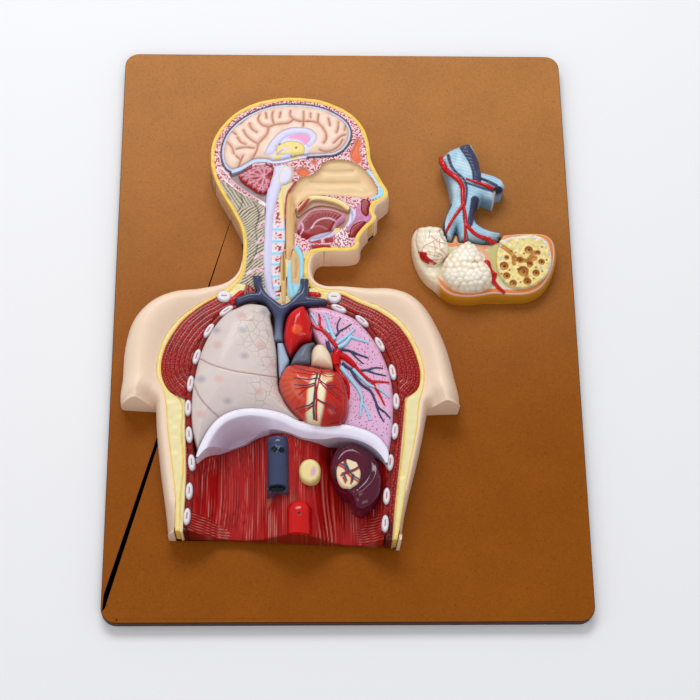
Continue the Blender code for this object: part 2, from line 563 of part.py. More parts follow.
def inlay(name, outline, seat, height, material, cell=COARSE_CELL, within=None, hollow=None):
    """Seats one piece: its outline up to height(x, y), less the pockets of what is seated in it."""
    piece = sheet_solid(name, outline, seat, height, cell)
    top = max(v.co.z for v in piece.data.vertices) / MM
    shaped(piece, prism("outline", [outline], seat - 5, top + 5), "INTERSECT")
    if within:
        for bounds in within:
            shaped(piece, prism("bounds", [bounds], seat - 5, top + 5), "INTERSECT")
    if hollow:
        shaped(piece, prism("hollow", [hollow], seat - 5, top + 5), "DIFFERENCE")
    cut_for_seated(piece, outline, top)
    SEATED.append((outline, seat))
    if not within:
        FREE_STANDING.append((outline, seat))
    return add_piece(piece, name, material)


def seat_lobule():
    """The lung lobule relief: airway, artery, alveoli and the sectioned lobule on their base."""
    cream = finish_material("lobule_cream", ALVEOLI_CREAM, 0.25)
    inlay("lobule_artery", LOBULE_ARTERY, BOARD_TOP + AIRWAY_CREST + FIT,
          level(AIRWAY_CREST + LOBULE_ARTERY_RISE),
          finish_material("lobule_red", ARTERY_RED, 0.3))
    SEATED.clear()
    inlay("bronchiole", AIRWAY, SHELL_BASE, level(AIRWAY_CREST),
          finish_material("airway_blue", CARTILAGE_BLUE, 0.35))
    base_top = BOARD_TOP + LOBULE_BASE_HEIGHT
    domes = (("alveoli_left", ALVEOLI_LEFT), ("alveoli_centre", ALVEOLI_CENTRE))
    for name, outline in domes:
        inlay(name, outline, base_top - ALVEOLI_SINK,
              dome(outline, ALVEOLI_EDGE, LOBULE_CREST, ALVEOLI_SHOULDER), cream, cell=MEDIUM_CELL)
    inlay("lobule_section", LOBULE_SECTION, base_top - ALVEOLI_SINK, level(LOBULE_SECTION_HEIGHT),
          cream)
    inlay("lobule_base", LOBULE_BASE, SHELL_BASE,
          dome(LOBULE_BASE, LOBULE_EDGE_HEIGHT, LOBULE_BASE_HEIGHT, LOBULE_SHOULDER),
          finish_material("lobule_tissue", FAT_YELLOW, 0.4), cell=BROAD_CELL)
    SEATED.clear()
    FREE_STANDING.clear()


def seat_vessels_on_organs():
    """The branching vessels that lie on the left lung and on the heart, a fit above their crests."""
    lung = BOARD_TOP + LEFT_LUNG_CREST + FIT
    trees = (("bronchi_left", BRONCHI_LEFT, CARTILAGE_BLUE),
             ("pulmonary_arteries_left", ARTERIES_LEFT, VEIN_NAVY),
             ("pulmonary_veins_left", VEINS_LEFT, ARTERY_RED))
    for name, outline, colour in trees:
        inlay(name, outline, lung, level(LEFT_LUNG_CREST + LUNG_VESSEL_HEIGHT),
              finish_material(name, colour, 0.3))
    inlay("coronary_vessels", CORONARY, BOARD_TOP + HEART_CREST + FIT,
          level(HEART_CREST + LUNG_VESSEL_HEIGHT), finish_material("coronary", VEIN_NAVY, 0.3))
    SEATED.clear()
    FREE_STANDING.clear()


def seat_heart_and_great_vessels():
    """The heart and the vessels that stand on the mediastinum."""
    inlay("heart", HEART, ORGAN_SEAT, dome(HEART, HEART_EDGE_HEIGHT, HEART_CREST, HEART_SHOULDER),
          finish_material("heart", HEART_RED, 0.3), cell=MEDIUM_CELL)
    inlay("left_auricle", LEFT_AURICLE, ORGAN_SEAT,
          dome(LEFT_AURICLE, AURICLE_EDGE, AURICLE_CREST, AURICLE_SHOULDER),
          finish_material("auricle", AURICLE_CREAM, 0.35), cell=FINE_CELL)
    inlay("aortic_arch", AORTIC_ARCH, ORGAN_SEAT,
          dome(AORTIC_ARCH, ARCH_EDGE, ARCH_CREST, ARCH_SHOULDER),
          finish_material("arch", ARTERY_RED, 0.25), cell=MEDIUM_CELL)
    inlay("pulmonary_trunk", PULMONARY_TRUNK, ORGAN_SEAT,
          dome(PULMONARY_TRUNK, TRUNK_EDGE, TRUNK_CREST, TRUNK_SHOULDER),
          finish_material("trunk", SLATE, 0.35), cell=MEDIUM_CELL)
    inlay("superior_vena_cava", VENA_CAVA, ORGAN_SEAT,
          dome(VENA_CAVA, VESSEL_EDGE, VESSEL_CREST, VESSEL_SHOULDER),
          finish_material("vena_cava", VEIN_NAVY, 0.3), cell=MEDIUM_CELL)
    inlay("right_atrium", RIGHT_ATRIUM, ORGAN_SEAT, level(VESSEL_CREST),
          finish_material("atrium", CARTILAGE_BLUE, 0.3))


def rib_sections(name, line, ribs, material):
    """The cut ends of the ribs, standing on the strip of muscle that joins them."""
    path = strip(line, RIB_STRIP_WIDTH)
    top = BOARD_TOP + RIB_HEIGHT
    piece = prism(name, [path], FLOOR_SEAT, top - RIB_STAND)
    for x, y, degrees in ribs:
        oval = ellipse(x, y, RIB_LENGTH, RIB_WIDTH, degrees)
        shaped(piece, prism("rib", [oval], top - RIB_SINK, top), "UNION")
    cut_for_seated(piece, path, top)
    SEATED.append((path, FLOOR_SEAT))
    SEATED.extend((ellipse(x, y, RIB_LENGTH, RIB_WIDTH, degrees), top - RIB_SINK)
                  for x, y, degrees in ribs)
    add_piece(piece, name, material)


def seat_chest():
    """The chest and abdomen, from the clavicles and ribs inwards and down to the cut end."""
    bone = finish_material("rib_bone", BONE_WHITE, 0.4)
    muscle = finish_material("chest_muscle", MUSCLE_RED, 0.35)
    for name, (x, y) in CLAVICLES.items():
        outline = ellipse(x, y, CLAVICLE_LENGTH, CLAVICLE_WIDTH, 0, CLAVICLE_SIDES)
        inlay(name, outline, BOARD_TOP + RIB_HEIGHT - RIB_SINK, level(RIB_HEIGHT), bone)
    rib_sections("rib_sections_right", RIB_LINE_RIGHT, RIBS_RIGHT, bone)
    rib_sections("rib_sections_left", RIB_LINE_LEFT, RIBS_LEFT, bone)
    inlay("mediastinum", MEDIASTINUM, FLOOR_SEAT, level(ORGAN_SEAT_HEIGHT - FIT), muscle)
    inlay("diaphragm", DIAPHRAGM, FLOOR_SEAT, level(DIAPHRAGM_HEIGHT),
          finish_material("diaphragm", LAVENDER, 0.35))
    inlay("right_lung", RIGHT_LUNG, FLOOR_SEAT,
          dome(RIGHT_LUNG, LUNG_EDGE_HEIGHT, RIGHT_LUNG_CREST, RIGHT_LUNG_SHOULDER),
          finish_material("right_lung", LUNG_GREY, 0.4))
    inlay("left_lung", LEFT_LUNG, FLOOR_SEAT,
          dome(LEFT_LUNG, LUNG_EDGE_HEIGHT, LEFT_LUNG_CREST, LEFT_LUNG_SHOULDER),
          finish_material("left_lung", LUNG_PINK, 0.4), cell=MEDIUM_CELL)
    seat_abdomen()
    section = [grown(FIELD, -FIT)]
    inlay("chest_wall_right", MUSCLE_RIGHT, FLOOR_SEAT, level(WALL_HEIGHT), muscle, within=section)
    inlay("chest_wall_left", MUSCLE_LEFT, FLOOR_SEAT, level(WALL_HEIGHT), muscle, within=section)


def half_tube(x_centre, radius, crest):
    """The height of a tube lying along Y."""
    def height(x, y):
        across = np.clip(np.abs(x - x_centre) / radius, 0, 1)
        return BOARD_TOP + crest - radius + radius * np.sqrt(1 - across ** 2)
    return height


def abdominal_valleys(x, y):
    """The height of the back wall: a ridge over the spine between two valleys."""
    at = [WALL_EDGE_X[0], *RIGHT_VALLEY_X, RIDGE_FOOT_X[0], *SPINE_RIDGE_X, RIDGE_FOOT_X[1],
          *LEFT_VALLEY_X, WALL_EDGE_X[1]]
    rise = [RIB_HEIGHT, VALLEY_HEIGHT, VALLEY_HEIGHT, VALLEY_SIDE_HEIGHT, SPINE_RIDGE_HEIGHT,
            SPINE_RIDGE_HEIGHT, VALLEY_SIDE_HEIGHT, VALLEY_HEIGHT, VALLEY_HEIGHT, RIB_HEIGHT]
    return BOARD_TOP + np.interp(x, at, rise)


def seat_abdomen():
    """The great vessels, spleen and gullet end standing in the back wall of the abdomen."""
    left, right = LOWER_CAVA_X - VENA_CAVA_RADIUS, LOWER_CAVA_X + VENA_CAVA_RADIUS
    low, high = LOWER_CAVA_ENDS
    inlay("inferior_vena_cava", [(left, low), (right, low), (right, high), (left, high)],
          FLOOR_SEAT, half_tube(LOWER_CAVA_X, VENA_CAVA_RADIUS, VESSEL_CREST),
          finish_material("lower_vena_cava", VEIN_NAVY, 0.3), cell=FINE_CELL)
    aorta_x = (AORTA_HALF[0][0] + AORTA_HALF[4][0]) / 2
    inlay("abdominal_aorta", AORTA_HALF, BOARD_TOP + SPINE_RIDGE_HEIGHT - AORTA_SINK,
          half_tube(aorta_x, AORTA_RADIUS, VESSEL_CREST),
          finish_material("aorta", ARTERY_RED, 0.25), cell=FINE_CELL)
    inlay("oesophagus_stub", OESOPHAGUS, FLOOR_SEAT, level(VESSEL_CREST),
          finish_material("gullet_end", FAT_YELLOW, 0.35))
    inlay("spleen_hilum", SPLEEN_HILUM, BOARD_TOP + SPLEEN_CREST - HILUM_SINK,
          level(SPLEEN_CREST + HILUM_RISE), finish_material("hilum", AURICLE_CREAM, 0.35))
    inlay("spleen", SPLEEN, FLOOR_SEAT, dome(SPLEEN, SPLEEN_EDGE, SPLEEN_CREST, SPLEEN_SHOULDER),
          finish_material("spleen", SPLEEN_DARK, 0.15), cell=MEDIUM_CELL)
    inlay("lumbar_vertebra", VERTEBRA, FLOOR_SEAT, level(SPINE_RIDGE_HEIGHT - VERTEBRA_DROP),
          finish_material("vertebra", BONE_WHITE, 0.4))
    inlay("abdominal_wall", ABDOMEN, FLOOR_SEAT, abdominal_valleys,
          finish_material("abdominal_muscle", MUSCLE_RED, 0.3), cell=BROAD_CELL)


def seat_head():
    """The sectioned head and neck, seated in the skull's slab."""
    brain_field = grown(BRAIN_CASE, -DURA_WIDTH)
    pieces = (
        ("thalamus", THALAMUS, BRAIN_HEIGHT, PALE_YELLOW, 0.4),
        ("corpus_callosum", CALLOSUM, BRAIN_HEIGHT, LAVENDER, 0.4),
        ("brain", grown(brain_field, -FIT), BRAIN_HEIGHT, CORTEX, 0.35),
        ("cerebellum", CEREBELLUM, SECTION_HEIGHT, MAROON, 0.35),
        ("brain_stem", BRAIN_STEM, NECK_HEIGHT, LAVENDER, 0.35),
        ("cervical_spine", SPINE, SECTION_HEIGHT, BONE_WHITE, 0.4),
        ("soft_palate", SOFT_PALATE, SECTION_HEIGHT, FAT_YELLOW, 0.4),
        ("larynx", LARYNX, NECK_HEIGHT, CARTILAGE_BLUE, 0.35),
        ("gullet", GULLET, SECTION_HEIGHT, TAN, 0.4),
        ("tongue", TONGUE, SECTION_HEIGHT, MAROON, 0.35),
        ("jaw_section", JAW, SECTION_HEIGHT, BONE_WHITE, 0.4),
        ("upper_lip", UPPER_LIP, SECTION_HEIGHT, LIP_PINK, 0.4),
        ("lower_lip", LOWER_LIP, SECTION_HEIGHT, LIP_PINK, 0.4),
        ("nasal_cavity", NASAL_CAVITY, CAVITY_HEIGHT, TAN, 0.4),
    )
    for name, outline, height, colour, roughness in pieces:
        inlay(name, outline, POCKET_SEAT, level(height), finish_material(name, colour, roughness))
    inlay("dura_liner", BRAIN_CASE, POCKET_SEAT, level(SECTION_HEIGHT),
          finish_material("dura", VEIN_NAVY, 0.4), hollow=brain_field)
    section = [grown(FIELD, -FIT)]
    inlay("neck_muscles", NECK_MUSCLES, POCKET_SEAT, level(SECTION_HEIGHT),
          finish_material("neck_muscle", MUSCLE_GREY, 0.45), within=section)
    inlay("skull_section", NECK_END, FLOOR_SEAT, level(SECTION_HEIGHT),
          finish_material("skull_bone", BONE_WHITE, 0.4), cell=FLAT_CELL,
          within=section)


def shell_height(x, y):
    """The skin's height: the head's flat cut, and the rounded shoulders and arm ends."""
    inside = np.clip(edge_distance(x, y, SKIN) / SKIN_ROUND, 0, 1)
    from_chest = np.hypot((x - CHEST_CENTRE[0]) / CHEST_REACH[0], (y - CHEST_CENTRE[1]) / CHEST_REACH[1])
    shoulder = np.interp(from_chest, [SHOULDER_START, SHOULDER_FULL], [0, 1])
    crest = SECTION_HEIGHT + (SHOULDER_CREST - SECTION_HEIGHT) * shoulder
    rounded = SKIN_EDGE_HEIGHT + (crest - SKIN_EDGE_HEIGHT) * np.sqrt(1 - (1 - inside) ** 2)
    torso = np.interp(y, NECK_BLEND, [1, 0])
    return BOARD_TOP + torso * rounded + (1 - torso) * SECTION_HEIGHT


def add_shell():
    """The skin tray that holds the figure, and the fat layer lining its wall."""
    section = SECTION_RIGHT + SECTION_END + SECTION_LEFT
    rim = prism("fat_rim", [section], FLOOR_SEAT, SECTION_TOP)
    shaped(rim, prism("field", [FIELD], 0, CLEAR_OF_ALL), "DIFFERENCE")
    cut_for_seated(rim, section, SECTION_TOP, FREE_STANDING)
    add_piece(rim, "fat_rim", finish_material("fat", FAT_YELLOW, 0.35))
    shell = sheet_solid("body_shell", SKIN, SHELL_BASE, shell_height, MEDIUM_CELL)
    shaped(shell, prism("outline", [SKIN], 0, CLEAR_OF_ALL / 2), "INTERSECT")
    opening = grown(SECTION_RIGHT + OPEN_END + SECTION_LEFT, FIT)
    shaped(shell, prism("opening", [opening], TRAY_FLOOR, CLEAR_OF_ALL), "DIFFERENCE")
    add_piece(shell, "body_shell", finish_material("skin", SKIN_TONE, 0.35))


def turned(name, profile):
    """A round solid about Z from a profile of (radius, height) points, top to bottom."""
    shape = bmesh.new()
    rings = [shape.verts.new((radius * MM, 0, z * MM)) for radius, z in profile]
    for upper, lower in zip(rings, rings[1:]):
        shape.edges.new((upper, lower))
    mesh = bpy.data.meshes.new(name)
    shape.to_mesh(mesh)
    shape.free()
    source = bpy.data.objects.new(name, mesh)
    CUTTERS.objects.link(source)
    screw = source.modifiers.new("turn", "SCREW")
    screw.steps = screw.render_steps = 12
    screw.use_merge_vertices = True
    screw.merge_threshold = 0.00001
    piece = made_mesh(source)
    bpy.data.objects.remove(source)
    return piece


def place(piece, x, y):
    """Moves a turned piece's mesh to (x, y)."""
    for vertex in piece.data.vertices:
        vertex.co.x += x * MM
        vertex.co.y += y * MM
    return piece


def add_board_and_screws():
    """The board, and the countersunk screws that hold both reliefs from its back."""
    board = bpy.data.objects.new("base_board", bpy.data.meshes.new("base_board"))
    shape = bmesh.new()
    bmesh.ops.create_cube(shape, size=1.0)
    bmesh.ops.scale(shape, vec=(BOARD_WIDTH * MM, BOARD_LENGTH * MM, BOARD_THICKNESS * MM),
                    verts=shape.verts)
    bmesh.ops.translate(shape, vec=(0, 0, BOARD_THICKNESS / 2 * MM), verts=shape.verts)
    corners = [e for e in shape.edges if abs(e.verts[0].co.z - e.verts[1].co.z) > 0.5 * MM]
    bmesh.ops.bevel(shape, geom=corners, offset=BOARD_CORNER * MM, segments=6, profile=0.5,
                    affect="EDGES", clamp_overlap=True)
    shape.to_mesh(board.data)
    shape.free()
    CUTTERS.objects.link(board)
    steel = finish_material("screw_steel", STEEL, 0.3, 1.0)
    sunk = SCREW_HEAD_DEPTH + HOLE_ROOM
    tip = TRAY_FLOOR - SCREW_TIP_COVER
    for group, spots in (("figure_screw", FIGURE_SCREWS), ("lobule_screw", LOBULE_SCREWS)):
        shell = bpy.data.objects["body_shell" if group == "figure_screw" else "lobule_base"]
        for number, (x, y) in enumerate(spots, 1):
            shank, head = SCREW_SHANK / 2, SCREW_HEAD / 2
            screw = turned("screw", [(0, tip), (shank, tip), (shank, sunk),
                                     (head, HOLE_ROOM), (0, HOLE_ROOM)])
            screw_piece = add_piece(place(screw, x, y), f"{group}_{number}", steel)
            hole = turned("hole", [(0, tip + FIT), (shank + FIT, tip + FIT), (shank + FIT, sunk + FIT),
                                   (head + FIT, HOLE_ROOM - FIT), (head + FIT, -2), (0, -2)])
            place(hole, x, y)
            shell_hole = hole.copy()
            shell_hole.data = hole.data.copy()
            CUTTERS.objects.link(shell_hole)
            shaped(board, hole, "DIFFERENCE")
            shaped(shell, shell_hole, "DIFFERENCE")
            screw_piece.data.shade_smooth()
    add_piece(board, "base_board", finish_material("board_wood", CHESTNUT, 0.35))


for old_object in list(bpy.data.objects):
    bpy.data.objects.remove(old_object)
MODEL = new_collection("torso_anatomy_model")
CUTTERS = new_collection("cutters")

seat_lobule()
seat_vessels_on_organs()
seat_heart_and_great_vessels()
seat_chest()
seat_head()
add_shell()
add_board_and_screws()
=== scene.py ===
"""Looks of the torso anatomy model: two painted resin reliefs on a varnished fibreboard.

Lengths are in millimetres in the frame of the CAD: X across the board, Y up to the head and Z out
of the relief, from the board's underside. The outlines come from the CAD nodes; what is painted or
carved inside them is drawn here.
"""

from __future__ import annotations

import logging
import math
from dataclasses import dataclass
from enum import Enum
from typing import Callable, Iterable, Sequence

import bmesh
import bpy
import numpy as np
from mathutils import Matrix, Vector


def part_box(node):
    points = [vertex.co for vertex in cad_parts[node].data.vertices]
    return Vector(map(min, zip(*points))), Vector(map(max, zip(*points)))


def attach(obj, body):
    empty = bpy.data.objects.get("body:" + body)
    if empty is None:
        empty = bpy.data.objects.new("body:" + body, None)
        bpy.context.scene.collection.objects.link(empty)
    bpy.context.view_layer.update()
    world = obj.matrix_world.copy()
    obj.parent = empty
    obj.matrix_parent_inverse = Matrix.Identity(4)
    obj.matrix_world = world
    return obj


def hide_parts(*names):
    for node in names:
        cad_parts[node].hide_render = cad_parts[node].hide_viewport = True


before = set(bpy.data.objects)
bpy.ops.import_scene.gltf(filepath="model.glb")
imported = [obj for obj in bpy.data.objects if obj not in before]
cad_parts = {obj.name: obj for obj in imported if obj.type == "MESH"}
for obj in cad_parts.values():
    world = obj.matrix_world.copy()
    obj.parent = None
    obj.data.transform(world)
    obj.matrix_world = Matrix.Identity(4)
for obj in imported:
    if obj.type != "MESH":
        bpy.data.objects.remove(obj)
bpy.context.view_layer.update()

MM = 0.001
STEP = 0.85
GROW = 0.3
EYE = (-51.0, -669.0, 1537.0)
SECTION = 42.0
Point = tuple[float, float]
Path = Sequence[Point]
LOG = logging.getLogger("torso_model")


# ---------------------------------------------------------------- colour and pattern tools


def linear(hex_colour: str) -> np.ndarray:
    """Turns an sRGB hex colour to linear RGB.

    Args:
        hex_colour: Six hex digits, with or without a leading hash.

    Returns:
        Three linear values.
    """
    digits = hex_colour.lstrip("#")
    srgb = np.array([int(digits[i : i + 2], 16) / 255 for i in (0, 2, 4)])
    return np.where(srgb <= 0.04045, srgb / 12.92, ((srgb + 0.055) / 1.055) ** 2.4)


def clamp(share: float | np.ndarray) -> np.ndarray:
    """Holds a share between none and all."""
    return np.clip(share, 0, 1)


def smooth_path(points: Path, step: float = 1.8, closed: bool = False, corner: float = 50.0) -> np.ndarray:
    """Runs a rounded line through the points and keeps its sharp corners.

    Args:
        points: The points, in order.
        step: The spacing of the result, in millimetres.
        closed: Whether the last point joins the first.
        corner: The turn, in degrees, from which a corner stays sharp.

    Returns:
        The line's points, one row each.
    """
    p = np.asarray(points, float)
    count = len(p)
    ahead = np.roll(p, -1, axis=0) - p
    behind = p - np.roll(p, 1, axis=0)
    if not closed:
        ahead[-1], behind[0] = behind[-1], ahead[0]
    gap_a = np.linalg.norm(ahead, axis=1) + 1e-9
    gap_b = np.linalg.norm(behind, axis=1) + 1e-9
    turn = np.degrees(np.arccos(np.clip(np.sum(ahead * behind, axis=1) / gap_a / gap_b, -1, 1)))
    tangent = (ahead / gap_a[:, None] + behind / gap_b[:, None]) / 2
    tangent /= np.linalg.norm(tangent, axis=1)[:, None] + 1e-9
    out = []
    for i in range(count if closed else count - 1):
        j = (i + 1) % count
        length = gap_a[i]
        start = ahead[i] / gap_a[i] if turn[i] > corner else tangent[i]
        end = ahead[i] / gap_a[i] if turn[j] > corner else tangent[j]
        t = np.linspace(0, 1, max(2, int(np.ceil(length / step)) + 1))[:-1, None]
        out.append((2 * t**3 - 3 * t**2 + 1) * p[i] + (t**3 - 2 * t**2 + t) * length * start
                   + (3 * t**2 - 2 * t**3) * p[j] + (t**3 - t**2) * length * end)
    if not closed:
        out.append(p[-1:])
    return np.concatenate(out)


def line_distance(x: np.ndarray, y: np.ndarray, line: np.ndarray, closed: bool,
                  reach: float = 1e9) -> tuple[np.ndarray, np.ndarray]:
    """Measures how far places lie from a line and where along it.

    Args:
        x: The places' X.
        y: The places' Y.
        line: The line's points.
        closed: Whether the line closes on itself.
        reach: Places further than this from the line's box are left at this distance.

    Returns:
        The distances, and the lengths along the line to the nearest points.
    """
    a = line if closed else line[:-1]
    b = np.roll(line, -1, axis=0) if closed else line[1:]
    d = b - a
    length = np.maximum(np.linalg.norm(d, axis=1), 1e-9)
    run = np.concatenate([[0], np.cumsum(length)[:-1]])
    best = np.full(x.shape, float(reach))
    along = np.zeros(x.shape)
    low, high = line.min(axis=0) - reach, line.max(axis=0) + reach
    close = np.nonzero((x > low[0]) & (x < high[0]) & (y > low[1]) & (y < high[1]))[0]
    for part in np.array_split(close, max(1, len(close) * len(a) // 4_000_000)):
        px, py = x[part, None] - a[:, 0], y[part, None] - a[:, 1]
        t = clamp((px * d[:, 0] + py * d[:, 1]) / length**2)
        gap = np.hypot(px - t * d[:, 0], py - t * d[:, 1])
        nearest = np.argmin(gap, axis=1)
        rows = np.arange(len(part))
        best[part] = np.minimum(gap[rows, nearest], reach)
        along[part] = run[nearest] + t[rows, nearest] * length[nearest]
    return best, along


def is_inside(x: np.ndarray, y: np.ndarray, loop: np.ndarray) -> np.ndarray:
    """Tells which places lie inside a closed loop.

    Args:
        x: The places' X.
        y: The places' Y.
        loop: The loop's points.

    Returns:
        True for each place inside.
    """
    inside = np.zeros(x.shape, bool)
    low, high = loop.min(axis=0), loop.max(axis=0)
    close = np.nonzero((x > low[0]) & (x < high[0]) & (y > low[1]) & (y < high[1]))[0]
    px, py = x[close], y[close]
    odd = np.zeros(px.shape, bool)
    ends = np.roll(loop, -1, axis=0)
    for (ax, ay), (bx, by) in zip(loop, ends):
        if ay != by:
            crosses = ((ay > py) != (by > py)) & (px < (bx - ax) * (py - ay) / (by - ay) + ax)
            odd ^= crosses
    inside[close] = odd
    return inside


def value_noise(x: np.ndarray, y: np.ndarray, seed: int) -> np.ndarray:
    """Smooth noise from -1 to 1 with one cell a unit.

    Args:
        x: The places' X, in cells.
        y: The places' Y, in cells.
        seed: Which noise.

    Returns:
        The noise at each place.
    """
    ix, iy = np.floor(x).astype(np.int64), np.floor(y).astype(np.int64)
    fx, fy = x - ix, y - iy
    fx, fy = fx * fx * (3 - 2 * fx), fy * fy * (3 - 2 * fy)

    def corner(cx: np.ndarray, cy: np.ndarray) -> np.ndarray:
        """One lattice value a cell corner."""
        h = (cx * 374761393 + cy * 668265263 + seed * 1442695041) & 0xFFFFFFFF
        h = ((h ^ (h >> 13)) * 1274126177) & 0xFFFFFFFF
        return ((h ^ (h >> 16)) & 0xFFFF) / 32767.5 - 1

    low = corner(ix, iy) * (1 - fx) + corner(ix + 1, iy) * fx
    high = corner(ix, iy + 1) * (1 - fx) + corner(ix + 1, iy + 1) * fx
    return low * (1 - fy) + high * fy


class Face:
    """The face of one relief while it is carved and painted: places, heights and colours."""

    def __init__(self, x: np.ndarray, y: np.ndarray, depth: np.ndarray) -> None:
        """Keeps the places.

        Args:
            x: Their X.
            y: Their Y.
            depth: How far each lies inside the piece's outline.
        """
        self.x, self.y, self.depth = x, y, depth
        self.z = np.zeros(len(x))
        self.colour = np.zeros((len(x), 3))
        self.speck = np.zeros(len(x))

    def project(self, level: float) -> None:
        """Carries a template drawn flat at a level onto the face, from the painter's eye over it."""
        lift = (self.z - level) / (EYE[2] - level)
        self.x = self.x + (self.x - EYE[0]) * lift
        self.y = self.y + (self.y - EYE[1]) * lift

    def gap(self, path: Path, closed: bool = False, reach: float = 1e9) -> np.ndarray:
        """Distance from a rounded line through the path's points, up to reach."""
        return line_distance(self.x, self.y, smooth_path(path, closed=closed), closed, reach)[0]

    def stroke(self, path: Path, width: float, soft: float = 0.8) -> np.ndarray:
        """A mask, 1 on a line of that width and falling to 0 over soft."""
        gap = self.gap(path, reach=width + soft + 1)
        return clamp((width / 2 + soft / 2 - gap) / soft)

    def strokes(self, paths: Iterable[Path], width: float, soft: float = 0.8) -> np.ndarray:
        """One mask over several strokes."""
        mask = np.zeros(len(self.x))
        for path in paths:
            mask = np.maximum(mask, self.stroke(path, width, soft))
        return mask

    def patch(self, loop: Path, soft: float = 0.9) -> np.ndarray:
        """A mask, 1 inside a closed rounded loop with an edge that wide."""
        line = smooth_path(loop, closed=True)
        gap = line_distance(self.x, self.y, line, True, soft + 1)[0]
        signed = np.where(is_inside(self.x, self.y, line), gap, -gap)
        return clamp(signed / soft + 0.5)

    def oval(self, x: float, y: float, length: float, width: float, degrees: float = 0.0,
             soft: float = 0.8) -> np.ndarray:
        """A mask over an oval, its length turned by degrees."""
        turn = math.radians(degrees)
        u = (self.x - x) * math.cos(turn) + (self.y - y) * math.sin(turn)
        v = (self.y - y) * math.cos(turn) - (self.x - x) * math.sin(turn)
        r = np.hypot(u / length, v / width) * 2
        return clamp((1 - r) * min(length, width) / 2 / soft + 0.5)

    def dots(self, places: Iterable[Point], size: float, soft: float = 0.8) -> np.ndarray:
        """A mask over round dots."""
        mask = np.zeros(len(self.x))
        for x, y in places:
            mask = np.maximum(mask, self.oval(x, y, size, size, soft=soft))
        return mask

    def noise(self, wide: float, high: float | None = None, seed: int = 0) -> np.ndarray:
        """Noise from -1 to 1 with cells that wide and high."""
        return value_noise(self.x / wide, self.y / (high or wide), seed)

    def paint(self, hex_colour: str, mask: np.ndarray | float = 1.0, speck: float = 0.0) -> None:
        """Lays a colour through a mask, and how much of the finish's specks show in it."""
        mask = np.broadcast_to(np.asarray(mask, float), self.x.shape)
        self.colour += (linear(hex_colour) - self.colour) * mask[:, None]
        self.speck += (speck - self.speck) * mask

    def soften(self, radius: float = 1.2, drop: float = 0.8) -> None:
        """Rounds the face's edge down."""
        self.z -= drop * (1 - np.minimum(self.depth / radius, 1)) ** 2

    def dome(self, edge: float, crest: float, width: float) -> None:
        """Sets a height that rises from edge at the outline to crest, width inside it."""
        t = clamp(self.depth / width)
        self.z = edge + (crest - edge) * np.sqrt(1 - (1 - t) ** 2)

    def furrow(self, paths: Iterable[Path], width: float, deep: float, hex_colour: str,
               share: float = 1.0) -> None:
        """Carves and paints narrow furrows.

        Args:
            paths: Their lines.
            width: How wide the painted line is.
            deep: How deep they are.
            hex_colour: The paint in them.
            share: How strongly the paint covers.
        """
        gap = np.full(len(self.x), 4.0)
        for path in paths:
            gap = np.minimum(gap, self.gap(path, reach=4.0))
        self.z -= deep * np.exp(-((gap / width) ** 2) / 0.7)
        self.paint(hex_colour, share * np.exp(-((gap / width * 1.6) ** 2)))

    def flat(self, height: float | np.ndarray) -> None:
        """Levels the face at a height."""
        self.z = np.zeros(len(self.x)) + height

    def rim(self, reach: float, soft: float | None = None) -> np.ndarray:
        """The share of a rim inside the outline, fading over the last part of its reach."""
        return clamp((reach - self.depth) / (soft or reach))

    def tint(self, hex_colour: str, share: np.ndarray) -> None:
        """Mixes a colour in and leaves the specks as they are."""
        self.colour += (linear(hex_colour) - self.colour) * share[:, None]

    def fill(self, hex_colour: str, outline: Path) -> None:
        """Paints one closed patch."""
        self.paint(hex_colour, self.patch(outline))

    def draw(self, hex_colour: str, path: Path, width: float) -> None:
        """Paints one line."""
        self.paint(hex_colour, self.stroke(path, width))

    def beads(self, spacing: float, rise: float, seed: int, jitter: float = 0.3) -> np.ndarray:
        """Raises a close packing of round beads.

        Args:
            spacing: The distance between beads.
            rise: How far they stand up.
            seed: Which packing.
            jitter: How far they stray from even rows, as a share of the spacing.

        Returns:
            How near each place is to a bead's middle, from 0 in the creases to 1.
        """
        row = np.floor(self.y / (spacing * 0.87))
        best = np.full(len(self.x), 1e9)
        for down in (-1, 0, 1):
            line = row + down
            shift = (line % 2) * 0.5
            column = np.floor(self.x / spacing - shift)
            for across in (-1, 0, 1):
                cell = column + across
                dx = jitter * value_noise(cell + 0.5, line + 0.5, seed)
                dy = jitter * value_noise(cell + 7.5, line + 3.5, seed + 1)
                gap = np.hypot(self.x / spacing - cell - shift - 0.5 - dx,
                               self.y / spacing - (line + 0.5) * 0.87 - dy)
                best = np.minimum(best, gap)
        near = np.sqrt(clamp(1 - (best / 0.72) ** 2))
        self.z += rise * near
        return near

    def rod(self, path: Path, start: float, end: float, rise: float, hex_colour: str,
            speck: float = 0.0) -> None:
        """Lays a raised round vessel along a path.

        Args:
            path: Its line.
            start: Its width where the path starts.
            end: Its width where the path ends.
            rise: How far it stands up.
            hex_colour: Its paint.
            speck: How much of the finish's specks it shows.
        """
        line = smooth_path(path)
        reach = max(start, end) / 2 + 1
        gap, along = line_distance(self.x, self.y, line, False, reach)
        total = float(np.sum(np.linalg.norm(np.diff(line, axis=0), axis=1)))
        half = (start + (end - start) * along / total) / 2
        profile = np.sqrt(clamp(1 - (gap / half) ** 2))
        mask = clamp((half - gap) / 0.7 + 0.5) * (gap < reach)
        self.z += rise * profile
        self.paint(hex_colour, mask, speck)


# ---------------------------------------------------------------- finishes


